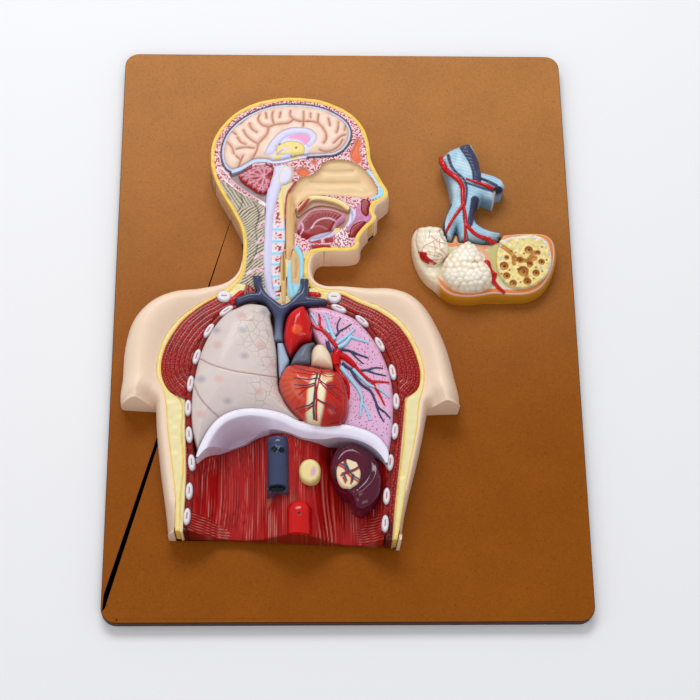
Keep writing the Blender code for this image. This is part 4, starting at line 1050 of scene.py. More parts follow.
@dataclass
class HeadSection:
    """The sectioned head and neck: bone, brain, brain stem, spine, airways, mouth and muscles."""

    cortex_top: float = 45.0
    sinus_depth: float = 2.0

    def build(self) -> None:
        """Builds every piece of the head."""
        bone = PaintedResin("painted_resin_spongy_bone", 0.42, speck=SpeckKind.SPONGE,
                            speck_colour="#AE1830", speck_size=1.7, speck_share=0.47)
        relief("skull", self.skull, bone, ["skull_section"], "bone",
               seated=["dura_liner", "cerebellum", "brain_stem", "cervical_spine", "soft_palate", "larynx",
                       "gullet", "tongue", "jaw_section", "upper_lip", "lower_lip", "nasal_cavity",
                       "neck_muscles"])
        relief("dura_mater", self.dura, PLAIN, ["dura_liner"], "dura", seated=["brain"])
        relief("cortex", self.cortex, PLAIN, ["brain"], "brain",
               seated=["corpus_callosum", "thalamus"])
        relief("callosum", self.callosum, PLAIN, ["corpus_callosum"], "nerve_white")
        relief("thalamus_core", self.thalamus, PLAIN, ["thalamus"], "thalamus")
        relief("cerebellum_section", self.cerebellum, PLAIN, ["cerebellum"], "cerebellum")
        relief("spinal_cord", self.cord, PLAIN, ["brain_stem"], "nerve_white")
        relief("vertebral_column", self.spine, bone, ["cervical_spine"], "spine")
        relief("nasal_and_throat_cavity", self.nasal, PLAIN, ["nasal_cavity"], "airway")
        relief("palate", self.palate, PLAIN, ["soft_palate"], "palate")
        relief("tongue_section", self.tongue, GLOSSY, ["tongue"], "tongue")
        relief("jaw", self.jaw, bone, ["jaw_section"], "bone")
        relief("upper_lip_muscle", self.lip, GLOSSY, ["upper_lip"], "lips")
        relief("lower_lip_muscle", self.lip, GLOSSY, ["lower_lip"], "lips")
        relief("larynx_section", self.larynx, PLAIN, ["larynx"], "cartilage")
        relief("gullet_section", self.gullet, PLAIN, ["gullet"], "gullet")
        relief("nape_muscles", self.nape, PLAIN, ["neck_muscles"], "neck_muscle")

    def skull(self, face: Face) -> None:
        """Carves and paints the bone of the skull and face, with what is drawn on it."""
        face.z = SECTION + 0.15 * face.noise(3, seed=1)
        face.paint("#EBC8CE", speck=1.0)
        face.paint("#DDA8B2", 0.5 * clamp(face.noise(9, seed=2)), 1.0)
        fossa = face.patch([
            (-114, 144), (-96, 150), (-72, 154), (-72, 112), (-80, 110), (-96, 123), (-112, 137)])
        face.z -= 3 * fossa
        face.paint("#9A807C", fossa)
        occiput = [(-124, 148), (-111, 132.6), (-98, 121.6), (-81, 110.4)]
        face.draw("#F4ECEE", occiput, 6.6)
        face.paint("#E4B4BC", face.stroke(occiput[:-1] + [(-86, 113.6)], 3.6), 1.0)
        neck = face.patch([
            (-60, 134), (-50, 132), (-50, 60), (-36, 58), (-36, 20), (-52, 2), (-86, 6), (-80, 40),
            (-72, 100), (-68, 128)])
        face.paint("#E8D3A0", neck)
        face.draw("#A82A30", [(-49, 134), (-56, 122), (-58.6, 100), (-59, 80), (-59, 62)], 3.4)
        mouth = face.patch([
            (-50, 96), (-44, 107), (-34, 112.5), (-14, 113.5), (-2, 109), (6, 102), (6, 90), (0, 86),
            (-12, 84), (-38, 72), (-50, 80)])
        face.z -= 4.5 * mouth
        face.paint("#B98E74", mouth)
        gum = face.patch([
            (12, 109), (14.6, 112), (18, 104), (24, 100), (30.6, 100), (30, 92), (24, 87), (14, 93),
            (8, 88), (3, 80), (1, 84), (6, 92), (9, 100)])
        face.paint("#CC80AC", gum)
        face.z += 0.8 * gum
        for sinus in ([(13, 186), (16, 180), (14.5, 170), (16.5, 159), (13, 155.5), (7, 160.5), (5.5, 166),
                       (9.5, 177)],
                      [(-48, 149), (-40, 151), (-33.6, 145), (-40, 141), (-47, 142.7)],
                      [(-33.5, 157.5), (-30, 160), (-27.6, 157), (-30, 153.5)]):
            hollow = face.patch(sinus, 2.2)
            face.z -= self.sinus_depth * hollow
            face.paint("#F0C8A8", face.patch(sinus, 3.5) * 0.7)
            face.paint("#E46A38", hollow)
        face.draw("#9EDCF2", [(23, 147), (30.5, 137), (36, 127), (37.6, 120.6), (26, 117.4)], 3.4)
        face.fill("#9EDCF2", [(33, 130), (39, 124), (39, 119), (32, 118)])
        face.draw("#CFE9F4", [(26, 144), (33, 131)], 1.0)
        face.fill("#F2CE6A", [(25.4, 115), (29.6, 113), (28, 104), (29, 98.4), (25, 98), (24, 106)])
        face.fill("#F1DE9A", [(-36, 60), (-22, 63.6), (6, 63.6), (4, 60.4), (-30, 59)])
        for block in ([(-36, 72), (-24, 72.5), (-24, 67.5), (-35.5, 67)],
                      [(-21, 73), (-12, 75), (-12, 68), (-21, 67.5)],
                      [(-35, 65.5), (-16, 66.5), (-14, 62), (-33, 60.5)]):
            face.fill("#A6222A", block)
        face.fill("#E8D074", [(-12, 85), (-5, 86), (-7, 79), (-11, 76)])
        face.fill("#CBC6E6", [(-36, 72.5), (-14, 79), (-11, 82), (-11, 76), (-34, 69)])
        tooth = face.patch([(5, 106), (9, 103.5), (10, 97), (7, 90), (2, 84), (-1, 87), (3, 95), (4, 102)])
        face.z += 1.2 * tooth
        face.paint("#DCD8F0", tooth)
        face.soften(0.8, 0.3)

    def dura(self, face: Face) -> None:
        """Carves and paints the dark line and the pale band round the brain, with painted shade along the
        band's inner edge.
        """
        face.flat(SECTION + 0.9)
        face.paint("#D6D2EE")
        face.paint("#C2D4F0", (face.y < 162) & (face.x < -70))
        edge = face.gap(node_outline("dura_liner"), closed=True, reach=6)
        lined = ~((face.x > -112) & (face.x < -38) & (face.y < 168))
        face.paint("#262C40", clamp((1.9 - edge) / 0.7) * lined)
        # Painted shade: a greyer band along the inner edge, where the dura meets the cortex.
        face.paint("#9C8C9C", 0.5 * clamp((edge - 2.6) / 0.6))
        face.fill("#DAD6F2", [(-73, 150), (-74, 167), (-46, 167), (-44, 150)])
        face.fill("#E8D684", [(-53, 152), (-53, 164), (-46, 164), (-46, 152)])

    def cortex(self, face: Face) -> None:
        """Carves and paints the folded surface of the brain."""
        face.dome(SECTION + 0.3, self.cortex_top, 9)
        face.paint("#F4D6C2")
        sulci = [
            [(-26, 199.7), (-34, 201.7), (-45, 201.7), (-51, 203.7), (-56, 199.7), (-63, 198.7),
             (-69, 197.7),
             (-76, 194.7)],
            [(-76, 194.7), (-83, 197.7), (-86.5, 204), (-85, 210)],
            [(-76, 194.7), (-77, 188), (-81, 182), (-86, 176)],
            [(-86, 176), (-88, 167), (-92, 159)], [(-71.5, 214), (-72.5, 207), (-71, 199)],
            [(-64, 212), (-65, 206)],
            [(-54, 214), (-54.5, 208), (-51, 204)], [(-41, 213), (-41, 205), (-41.5, 196)],
            [(-26, 210), (-26.4, 200), (-22, 194.6), (-19, 188), (-18.4, 182), (-21, 177)],
            [(-16, 205), (-14.6, 197)], [(-6, 202), (-6.6, 194), (-8, 189)], [(1, 198), (0, 192)],
            [(-25, 169.6), (-20, 167.8), (-12, 169.6), (-6, 174), (-2, 181)],
            [(-11, 177), (-4, 184.6), (1, 187)],
            [(-101, 191), (-98, 185), (-93, 180), (-87, 176)], [(-95, 199), (-93, 193), (-87.6, 188.6)],
            [(-107, 183), (-103, 177), (-98.6, 175)], [(-117, 178), (-112, 171), (-110, 164)],
            [(-108, 169.6), (-100, 171.6), (-90, 170.6)], [(-105, 151), (-103, 157), (-101, 162)],
            [(-103, 157), (-108, 162)], [(-62, 188.6), (-66, 185)], [(-99, 206), (-104, 199)],
            [(-34, 211), (-34, 206)],
            [(-79, 212), (-78, 205)], [(-112, 190), (-108, 186)],
        ]
        gap = np.full(len(face.x), 7.0)
        for path in sulci:
            gap = np.minimum(gap, face.gap(path, reach=7.0))
        t = clamp(gap / 5)
        face.z += 1.5 * np.sqrt(1 - (1 - t) ** 2) - 1.0
        face.paint("#E0A488", 0.5 * np.exp(-((gap / 2.4) ** 2)))
        face.paint("#AC5436", 0.85 * np.exp(-((gap / 0.8) ** 2)))
        face.paint("#E6BC9E", 0.5 * face.rim(4))
        face.paint("#DC9C80", 0.3 * clamp(face.noise(7, seed=7) * 1.6 - 0.5))
        band = face.patch([
            (-74, 158), (-71, 168), (-64, 180), (-56, 187.6), (-46, 190), (-34, 188), (-30, 182),
            (-35, 170), (-38, 158), (-60, 154)], 1.2)
        face.z += (self.cortex_top + 0.2 - face.z) * band
        face.paint("#D8D4F0", band)
        face.paint("#EC9CCA", face.patch([
            (-58, 182), (-52.5, 185.6), (-44, 188), (-36, 186.6), (-34, 183), (-37, 177), (-40, 174.4),
            (-43, 178), (-47, 181), (-52, 181.4)], 0.7))
        face.fill("#ECD98A", [(-71, 158), (-69.5, 166), (-66, 173), (-62, 170), (-63, 162), (-66, 157)])
        face.fill("#EAD684", [(-53, 161), (-48, 161), (-47, 157), (-52, 156)])
        face.soften(1.2, 0.8)

    def callosum(self, face: Face) -> None:
        """Carves and paints the white band of the brain."""
        face.flat(self.cortex_top + 0.6)
        face.soften(3.2, 1.0)
        face.paint("#DAD6F2")
        face.paint("#C4BEDC", 0.5 * face.rim(1.6))

    def thalamus(self, face: Face) -> None:
        """Carves and paints the thalamus."""
        face.flat(self.cortex_top + 0.7)
        face.soften(3, 1.2)
        face.paint("#F0DA84")
        face.paint("#D6CEEE", face.strokes([[(-69, 162), (-63, 168), (-57, 171)]], 2.6))
        face.paint("#B48CAC", face.strokes([[(-68, 163.6), (-62, 169)]], 1.0))
        face.fill("#DAD6F2", [(-66, 156), (-62, 163), (-57.6, 165.6), (-53, 163), (-50, 158)])
        face.paint("#2C2620", face.dots([(-48.6, 171)], 2.2))

    def cerebellum(self, face: Face) -> None:
        """Carves and paints the branching tree of the cerebellum."""
        face.flat(SECTION + 0.9)
        face.soften(2.5, 1.5)
        face.paint("#AE1E28")
        trunk = (-80.0, 140.5)
        tips = [(-73, 149.6), (-77, 153), (-82, 153), (-87, 152.6), (-92, 150.6), (-97, 146.6),
                (-102, 144.6),
                (-105.6, 142), (-101, 137), (-96, 132), (-90.6, 128), (-85.6, 124), (-81, 123),
                (-77.4, 126),
                (-75, 133)]
        ribs = []
        for number, tip in enumerate(tips):
            way = np.array(tip) - trunk
            side = np.array([-way[1], way[0]]) / np.linalg.norm(way)
            bend = np.array(trunk) + 0.55 * way + side * (0.8 if number % 2 else -0.8)
            ribs.append([trunk, tuple(bend), tip])
            for share in (0.6, 0.8):
                foot = np.array(trunk) + share * way
                for turn in (1, -1):
                    ribs.append([tuple(foot), tuple(foot + 0.1 * way + turn * side * 1.7)])
        face.furrow(ribs, 1.0, -0.35, "#DCA4B4", 0.95)
        face.paint("#6C0C18", 0.5 * clamp(face.noise(1.3, seed=12) * 2 - 0.9))
        notch = face.oval(-72.6, 141, 5, 3.4, soft=1.2)
        face.z -= 2.5 * notch
        face.paint("#9A807C", notch)

    def cord(self, face: Face) -> None:
        """Carves and paints the brain stem and the spinal cord."""
        face.flat(SECTION + 1.2)
        face.soften(3.5, 1.6)
        face.paint("#D8D4F0")
        face.fill("#E8D684", [(-58, 157), (-48, 157), (-48, 150), (-55, 149.6)])
        pons = [(-64, 132), (-65.4, 140), (-62.6, 147), (-58, 152), (-53.4, 150), (-52.6, 143),
                (-55, 135.6), (-59, 131)]
        face.z += 0.6 * face.patch(pons, 3.0)
        face.fill("#DDDAF6", pons)
        face.draw("#E6D27A", pons + pons[:1], 1.2)
        face.draw("#EBD98C", [(-71, 152), (-71.6, 143), (-70.6, 138)], 1.4)
        face.furrow([[(-74.4, 122), (-74.6, 60), (-74.6, 10)]], 0.7, 0.15, "#C4BEE0", 0.5)
        face.paint("#B8B2D2", 0.5 * face.rim(1.2))

    def spine(self, face: Face) -> None:
        """Carves and paints the vertebral bodies and the discs between them."""
        face.flat(SECTION + 0.7)
        face.soften(1.4, 0.8)
        face.paint("#EFDADF")
        scrawl = clamp(face.noise(1.9, 1.3, seed=13) * 6 + 0.6)
        inner = clamp((face.x + 69) / 1.0) * clamp((-62 - face.x) / 1.0)
        face.paint("#B01C2E", scrawl * inner)
        face.fill("#EFD98A", [(-67, 130), (-60, 130), (-60, 100), (-62, 91), (-64, 91), (-65, 104)])
        for y in (82.0, 69.0, 56.0, 44.5, 31.5, 19.6, 8.0):
            face.draw("#F2E4EA", [(-74, y), (-56, y)], 4.6)
            disc = face.stroke([(-74, y), (-56, y)], 2.9)
            face.z += 0.4 * disc
            face.paint("#9CD8F2", disc)

    def nasal(self, face: Face) -> None:
        """Carves and paints the nasal cavity with its conchae, and the throat behind it."""
        recess = clamp(face.depth / 9)
        face.z = SECTION - 0.4 - 4.0 * np.sqrt(1 - (1 - recess) ** 2)
        face.paint("#E8C596")
        face.paint("#CFA470", 0.5 * face.rim(5))
        for path, width, rise in (([(-26, 130), (-10, 128.6), (6, 130), (16, 127)], 9, 1.0),
                                  ([(-18, 143), (-6, 143), (8, 144)], 9, 0.9),
                                  ([(-14, 154), (-4, 154.6), (4, 153)], 6, 0.8)):
            gap = face.gap(path, reach=20)
            swell = np.exp(-((gap / width * 1.7) ** 2))
            face.z += rise * swell
            face.paint("#EED0A0", 0.8 * swell)
        face.furrow([[(-34, 137), (-20, 136.6), (0, 136.6), (14, 137)],
                     [(-22, 149.6), (-6, 149), (8, 150)]],
                    1.8, 0.7, "#BC8C58", 0.4)
        throat = np.exp(-((face.gap(
            [(-54, 118), (-54.6, 100), (-54, 70), (-53.6, 52)], reach=20) / 3.6) ** 2))
        face.z += 3.0 * throat
        face.paint("#DDB078", throat)
        face.furrow([[(-49.8, 112), (-50.4, 90), (-50.4, 62)]], 1.2, 0.8, "#A67848", 0.6)
        face.soften(0.9, 0.4)

    def palate(self, face: Face) -> None:
        """Carves and paints the soft and hard palate."""
        face.flat(SECTION + 0.5)
        face.paint("#B98E74")
        roof = [(-46, 104), (-40, 111), (-34, 116.6), (-14, 115.4), (-3, 110.6), (3, 105.6)]
        gap = face.gap(roof, reach=20)
        face.z -= 3.2 * clamp((gap - 2.2) / 2)
        face.paint("#F0D888", clamp((2.9 - gap) / 0.8))
        face.draw("#F6EAC8", [(-34, 117.6), (-14, 116.8), (0, 111.6)], 1.0)
        face.fill("#A8262C", [(-48, 102), (-43, 109), (-37, 116.4), (-34, 116), (-38.4, 109), (-45, 101)])

    def tongue(self, face: Face) -> None:
        """Carves and paints the tongue's muscle fan inside its pink skin."""
        face.dome(SECTION - 0.6, SECTION + 1.6, 5)
        face.paint("#96121A")
        root = (-27, 74)
        for k in range(19):
            turn = math.radians(32 + k * 6.6)
            face.furrow([[(root[0] + 12 * math.cos(turn), root[1] + 12 * math.sin(turn)),
                          (root[0] + 36 * math.cos(turn), root[1] + 36 * math.sin(turn))]], 0.6, 0.2,
                        "#6A0E18", 0.6)
        face.paint("#DCA4BC", face.rim(2.6, 0.8) * clamp((face.y - 80) / 4 + (face.x > -6)))
        face.draw("#E4C8D6", [(-33.6, 83), (-29, 90), (-24, 93), (-16.4, 94), (-9.6, 91)], 1.2)
        face.fill("#D994B4", [(-11, 88), (-8, 93), (-2, 98), (0, 95), (-2, 90), (-8, 85)])
        face.draw("#DCA4BC", [(-47, 92), (-43, 88), (-41.6, 82), (-44, 77)], 1.6)
        face.fill("#C9C6E2", [(-38, 71), (-30, 75), (-13, 80), (-12, 76), (-34, 69)])

    def jaw(self, face: Face) -> None:
        """Carves and paints the chin's bone."""
        face.flat(SECTION + 0.2)
        face.soften(1.2, 0.7)
        face.paint("#F2E6EA", speck=0.9)

    def lip(self, face: Face) -> None:
        """Carves and paints the sectioned muscle of a lip."""
        face.flat(SECTION + 0.6)
        face.soften(2.0, 1.2)
        face.paint("#9A1C22")
        face.paint("#7A1018", 0.6 * clamp(face.noise(1.6, seed=3) * 2))

    def larynx(self, face: Face) -> None:
        """Carves and paints the cartilage of the larynx and the windpipe."""
        face.flat(SECTION + 0.2)
        face.soften(2.0, 1.0)
        face.paint("#DDB680")
        limbs = ([(-51, 66), (-47, 60), (-43.6, 52), (-42.4, 40), (-43.6, 24), (-48, 10)],
                 [(-56, 52), (-55.4, 36), (-54, 20), (-51, 8)])
        for limb in limbs:
            gap = face.gap(limb, reach=9)
            face.z += 1.6 * np.sqrt(clamp(1 - (gap / 2.7) ** 2))
            face.paint("#9EDAF2", clamp((2.7 - gap) / 0.7))
        face.fill("#A4D8EC", [(-57, 26), (-50, 24), (-43, 22), (-48, 8), (-56, 10)])
        face.fill("#8A1A22", [(-57, 62), (-53.6, 61), (-53.6, 53), (-57, 53)])
        face.furrow([[(-48.6, 50), (-48, 40), (-49, 30)]], 1.4, 0.6, "#B98652", 0.7)

    def gullet(self, face: Face) -> None:
        """Carves and paints the gullet."""
        face.flat(SECTION + 0.6)
        face.soften(1.5, 1.0)
        face.paint("#DDB47A")
        face.furrow([[(-60.4, 58), (-60.2, 44), (-60.2, 28)]], 1.5, 1.4, "#8A5A10", 0.95)

    def nape(self, face: Face) -> None:
        """Carves and paints the muscles of the nape with their fibre lines and the spinous processes."""
        face.flat(SECTION + 0.3)
        face.soften(1.2, 0.7)
        face.paint("#CBBCA4")
        contour = [(-129, 146), (-122, 130), (-111, 112), (-102, 94), (-98, 78), (-97, 55), (-99, 41)]
        out = face.gap(contour, reach=60) + 0.9 * face.noise(9, seed=8)
        upper = clamp((face.y - 104 - 0.2 * (face.x + 100)) / 4)
        stripe = clamp(np.cos(2 * np.pi * out / 2.9) * 2 - 0.5) * upper
        slant = face.y * 0.78 - (face.x + 90) * 0.62 + 1.2 * face.noise(8, seed=9)
        hatch = clamp(np.cos(2 * np.pi * slant / 2.6) * 2 - 0.5) * (1 - upper)
        lines = np.maximum(stripe, hatch) * clamp(face.depth / 1.2)
        face.z -= 0.4 * lines
        face.paint("#2E2822", lines)
        bounds = face.strokes([
            [(-121, 138), (-112, 129), (-104, 121), (-101, 112), (-104, 104)], [(-90, 112), (-86, 104),
            (-85, 94), (-88, 84), (-86, 66), (-90, 50), (-97, 40)]], 1.2)
        face.z -= 0.4 * bounds
        face.paint("#3A342C", 0.8 * bounds)
        face.paint("#DCD2BA", 0.35 * clamp(face.noise(6, seed=10)) * (1 - lines))
        for y, reach in ((103.0, 4.0), (89.0, 7.0), (71.5, 9.0), (55.0, 11.0), (38.5, 18.0)):
            wedge = face.patch([
                (-78, y + 3.6), (-78, y - 1.4), (-78 - reach * 0.6, y - 3.6), (-79 - reach, y - 6.6),
                (-78 - reach, y - 3.0), (-78 - reach * 0.5, y + 1.6)], 0.7)
            face.z += 0.5 * wedge
            face.paint("#E8CCD2", wedge)
            core = face.patch([
                (-79, y + 2.4), (-79, y - 0.6), (-78 - reach * 0.7, y - 3.2), (-78 - reach * 0.6, y)], 0.7)
            face.paint("#B02238", core * clamp(face.noise(1.2, seed=11) * 3 + 0.2))



# ---------------------------------------------------------------- the chest


NAVY, RED, SKY = "#3A4060", "#C80C0A", "#A6D6EE"


@dataclass
class Chest:
    """The chest: muscle walls, ribs and clavicles, lungs, great vessels and heart."""

    drawing: float = 50.0
    section: float = 42.0
    right_crest: float = 60.0
    left_crest: float = 50.0
    heart_crest: float = 71.0

    def build(self) -> None:
        """Builds every piece of the chest."""
        relief("mediastinum_bed", self.bed, PLAIN, ["mediastinum"], "muscle",
               seated=["heart", "aortic_arch", "pulmonary_trunk"])
        relief("muscle_wall_right", self.wall_right, GLOSSY, ["chest_wall_right"], "muscle")
        relief("muscle_wall_left", self.wall_left, GLOSSY, ["chest_wall_left"], "muscle")
        for side in ("right", "left"):
            node = f"rib_sections_{side}"
            buttons = [carved("rib", self.rib, loop, SECTION - 8, step=0.6, grow=0.2)
                       for loop in node_loops(node, node_top(node)) if len(loop) > 7]
            band = carved("band", self.band, node_outline(node), node_base(node))
            finish_piece(join(f"ribs_{side}", [*buttons, band]), GLOSSY.material(), [node], "rib_bone")
            relief(f"collarbone_{side}", self.rib, GLOSSY, [f"clavicle_{side}"], "rib_bone", step=0.6)
        relief("lung_right", self.lung_right, PaintedResin(
            "painted_resin_lobules", 0.36, 0.245, SpeckKind.POLYGONS, "#BFAEA4", 8.0, 0.045),
            ["right_lung"], "right_lung")
        relief("lung_left", self.lung_left, PaintedResin(
            "painted_resin_speckled", 0.36, 0.245, SpeckKind.DOTS, "#9A2C50", 2.4, 0.3),
            ["left_lung"], "left_lung")
        relief("heart_muscle", self.heart, WET, ["heart"], "heart")
        relief("auricle", self.auricle, GLOSSY, ["left_auricle"], "auricle", step=0.7)
        relief("arch_of_aorta", self.arch, WET, ["aortic_arch"], "aorta")
        relief("pulmonary_artery_trunk", self.trunk, GLOSSY, ["pulmonary_trunk"], "pulmonary_trunk")
        relief("great_veins", self.veins, WET, ["superior_vena_cava"], "vein", step=0.7)
        relief("atrium", self.atrium, GLOSSY, ["right_atrium"], "vein")
        self.vessels(GLOSSY)

    def bed(self, face: Face) -> None:
        """Carves and paints the bed under the heart."""
        face.flat(36.0)
        face.paint("#6A1410")

    def wall(self, face: Face, contour: Path) -> None:
        """Carves and paints a chest muscle, its fibres following a contour."""
        line = smooth_path(contour)
        out, along = line_distance(face.x, face.y, line, False)
        face.z = SECTION + 2.2 * clamp(out / 8) + 0.6
        face.soften(2.0, 1.4)
        face.project(self.section)
        face.paint("#A0100A")
        face.paint("#7A0E0A", 0.5 * clamp(face.noise(14, seed=20) * 1.3))
        across = out + 0.35 * face.noise(9, seed=21)
        dark = clamp(np.cos(2 * np.pi * across / 4.4) * 2 - 1.0)
        beads = (clamp(np.cos(2 * np.pi * (across / 2.2 + 0.5)) * 2 - 0.7)
                 * clamp(np.cos(2 * np.pi * along / 3.0) * 2 - 0.5))
        face.z -= 0.45 * dark
        face.paint("#3E0505", 0.75 * dark)
        face.paint("#D8807A", 0.65 * beads * (1 - dark))
        face.z += 0.2 * beads
        face.paint("#4E0A0C", 0.9 * clamp((-212 - face.y) / 4))

    def wall_right(self, face: Face) -> None:
        """The muscle on the figure's right."""
        self.wall(face, [
            (-111, 17), (-139, 1), (-155, -13), (-166, -29), (-172.4, -43), (-175.6, -60), (-174, -74),
            (-168, -86), (-160, -96), (-155, -127), (-152, -161), (-154, -195), (-152, -226)])
        fat = face.patch([
            (-158, -93), (-152, -96), (-151, -130), (-149.5, -170), (-151, -230), (-170, -230),
            (-170, -90)])
        face.paint("#EFE0A6", fat)
        face.fill("#F1E2A8", [(-122, 14), (-108, 8), (-100, 14), (-96, 26), (-112, 22)])
        face.rod([(-110, 6), (-105, 10), (-101, 14)], 6.0, 6.0, 1.6, RED)

    def wall_left(self, face: Face) -> None:
        """The muscle on the figure's left."""
        self.wall(face, [
            (-4, 12.8), (11, 5), (31, -4.6), (49, -19), (60, -36), (66.6, -54), (69, -71), (66, -85),
            (58, -94), (54, -108), (51.8, -138), (47, -172), (42.7, -206), (40, -232)])
        face.fill("#EFE0A6", [
            (62, -90), (54, -94), (51.5, -120), (47, -160), (42, -200), (39, -232), (60, -236), (70, -95)])
        face.fill("#EFDD94", [(-36, 20), (-16, 19), (-15, 7), (-36, 9)])
        face.rod([(-43, 12), (-35, 12.6), (-27, 12)], 5.6, 5.6, 1.6, RED)

    def rib(self, face: Face) -> None:
        """Carves and paints one sawn rib or collarbone: white, with a red slit of marrow."""
        face.flat(SECTION + 6.0)
        face.soften(1.8, 1.8)
        middle = np.array([face.x.mean(), face.y.mean()])
        offset = np.column_stack([face.x, face.y]) - middle
        _, axes = np.linalg.eigh(offset.T @ offset)
        u, v = offset @ axes[:, 1], offset @ axes[:, 0]
        half = np.abs(u).max()
        slit = clamp((half * 0.48 - np.abs(u)) / 1.0) * clamp((0.9 - np.abs(v)) / 0.6)
        face.z -= 0.4 * slit
        face.paint("#E9E6EC")
        face.paint("#C9C6D0", 0.6 * face.rim(1.0))
        face.paint("#C05A50", 0.9 * slit)

    def band(self, face: Face) -> None:
        """Carves and paints the muscle between the ribs."""
        face.flat(SECTION + 2.4)
        face.soften(1.4, 1.0)
        face.paint("#8E2018")
        face.paint("#5E0C0A", 0.7 * clamp(face.noise(2.4, 1.6, seed=22) * 2))

    def lung_right(self, face: Face) -> None:
        """Carves and paints the right lung, with its fissures and lobules."""
        face.dome(44.5, self.right_crest, 34)
        face.project(self.section)
        face.paint("#DACCC6")
        face.paint("#E6D8D0", 0.6 * clamp(face.noise(22, seed=23)))
        lobules = np.maximum(face.patch([
            (-88, -2), (-106, -14), (-104, -40), (-84, -52), (-72, -44), (-70, -12)], 9),
            face.patch([(-92, -74), (-68, -72), (-62, -96), (-78, -106), (-94, -96)], 9))
        lobules = np.maximum(lobules, face.patch([(-84, -50), (-66, -48), (-66, -70), (-80, -70)], 6))
        face.speck = clamp(lobules * 1.0)
        for x, y in ((-123, -40), (-82, -40), (-121, -75), (-83, -87), (-137, -110), (-101, -9),
                     (-70, -60)):
            face.tint("#DD9C98", 0.5 * face.oval(x, y, 8, 7, soft=4))
        for x, y in ((-124, -25), (-97, -51), (-137, -75), (-112, -97), (-79, -5), (-100, -24)):
            face.tint("#8E8EA6", 0.55 * face.oval(x, y, 7, 6, soft=4))
        face.furrow([[(-139, -54), (-128, -60), (-105, -67), (-85, -70), (-65, -73)],
                     [(-144, -80), (-140, -90), (-133, -100), (-120, -113)]], 0.9, 0.5, "#8A3A30", 0.85)
        face.tint("#8E4434", 0.8 * face.rim(1.3))
        face.soften(1.5, 1.2)

    def lung_left(self, face: Face) -> None:
        """Carves and paints the sectioned left lung."""
        face.dome(45.5, self.left_crest, 7)
        face.project(self.drawing)
        face.paint("#E2AED0", speck=0.9)
        face.paint("#EBC4DC", 0.7 * clamp(face.noise(10, seed=24)), 0.9)
        face.paint("#C88A9C", 0.7 * face.rim(4.0))
        lower = clamp((-108 - face.y) / 12)
        face.paint("#DDB8DA", 0.5 * lower, 0.9)
        face.soften(1.5, 1.0)

    def heart(self, face: Face) -> None:
        """Carves and paints the heart: two ventricles with a fatty groove between them."""
        face.dome(50, self.heart_crest, 27)
        face.project(self.drawing)
        groove = [(-27, -70), (-29, -80), (-30.5, -97), (-30.5, -112), (-31, -124)]
        face.z -= 1.0 * np.exp(-((face.gap(groove, reach=30) / 7) ** 2))
        face.paint("#D2402A")
        face.paint("#C22418", clamp((face.x + 30) / 8))
        face.paint("#A80E0A", 0.8 * clamp((face.x + 24) / 10) * clamp((-100 - face.y) / 14))
        face.paint("#E06A48", 0.55 * face.patch([
            (-60, -76), (-56, -70), (-46, -72), (-46, -90), (-54, -98), (-60, -90)], 7))
        fan = np.arctan2(face.y + 78, face.x + 29)
        hairs = clamp(np.cos(fan * 34 + 2 * face.noise(12, seed=25)) * 2 - 1)
        face.paint("#9C1010", 0.35 * hairs * clamp(np.abs(face.x + 30) / 6 - 0.6))
        cream = face.patch([
            (-32, -72), (-37, -86), (-38, -100), (-39, -114), (-37, -124), (-27, -124), (-24, -110),
            (-22, -97), (-21, -85), (-24, -74)], 3)
        face.paint("#F6EAC4", cream)
        face.paint("#F2DCA8", 0.8 * face.patch([(-24, -72), (-14, -73), (-15, -79), (-22, -82)], 3))
        face.paint("#D6B088", 0.8 * face.patch([(-42, -120), (-38, -128), (-26, -128), (-27, -121)], 3))
        face.tint("#8A1410", 0.7 * face.rim(1.4))

    def auricle(self, face: Face) -> None:
        """Carves and paints the left auricle."""
        face.dome(50, 62, 9)
        face.paint("#F3DDC0")
        face.paint("#E2BE9A", 0.6 * face.rim(3))

    def arch(self, face: Face) -> None:
        """Carves and paints the arch of the aorta."""
        face.dome(47, 60, 12)
        face.project(self.drawing)
        face.paint("#CE0A06")
        face.paint("#8E0604", 0.6 * face.rim(3.5))
        face.paint("#E85024", face.oval(-47.6, -27, 10, 10, soft=1.4))
        face.paint("#4A0604", 0.8 * clamp((-50 - face.y) / 6))

    def trunk(self, face: Face) -> None:
        """Carves and paints the trunk of the pulmonary artery."""
        face.dome(48, 58, 10)
        face.paint("#6E7486")
        face.paint("#474C60", 0.7 * face.rim(4))

    def veins(self, face: Face) -> None:
        """Carves and paints the superior vena cava and the veins that join it."""
        face.dome(45, 51, 4.6)
        face.paint("#3C4362")
        face.paint("#7E8AA2", 0.8 * clamp((-14 - face.y) / 22))
        face.paint("#262B44", 0.7 * face.rim(1.8))

    def atrium(self, face: Face) -> None:
        """Carves and paints the strip of the right atrium."""
        face.dome(48, 51.5, 4)
        face.paint("#A8B8CE")
        face.paint("#7C8CA8", 0.6 * face.rim(1.5))

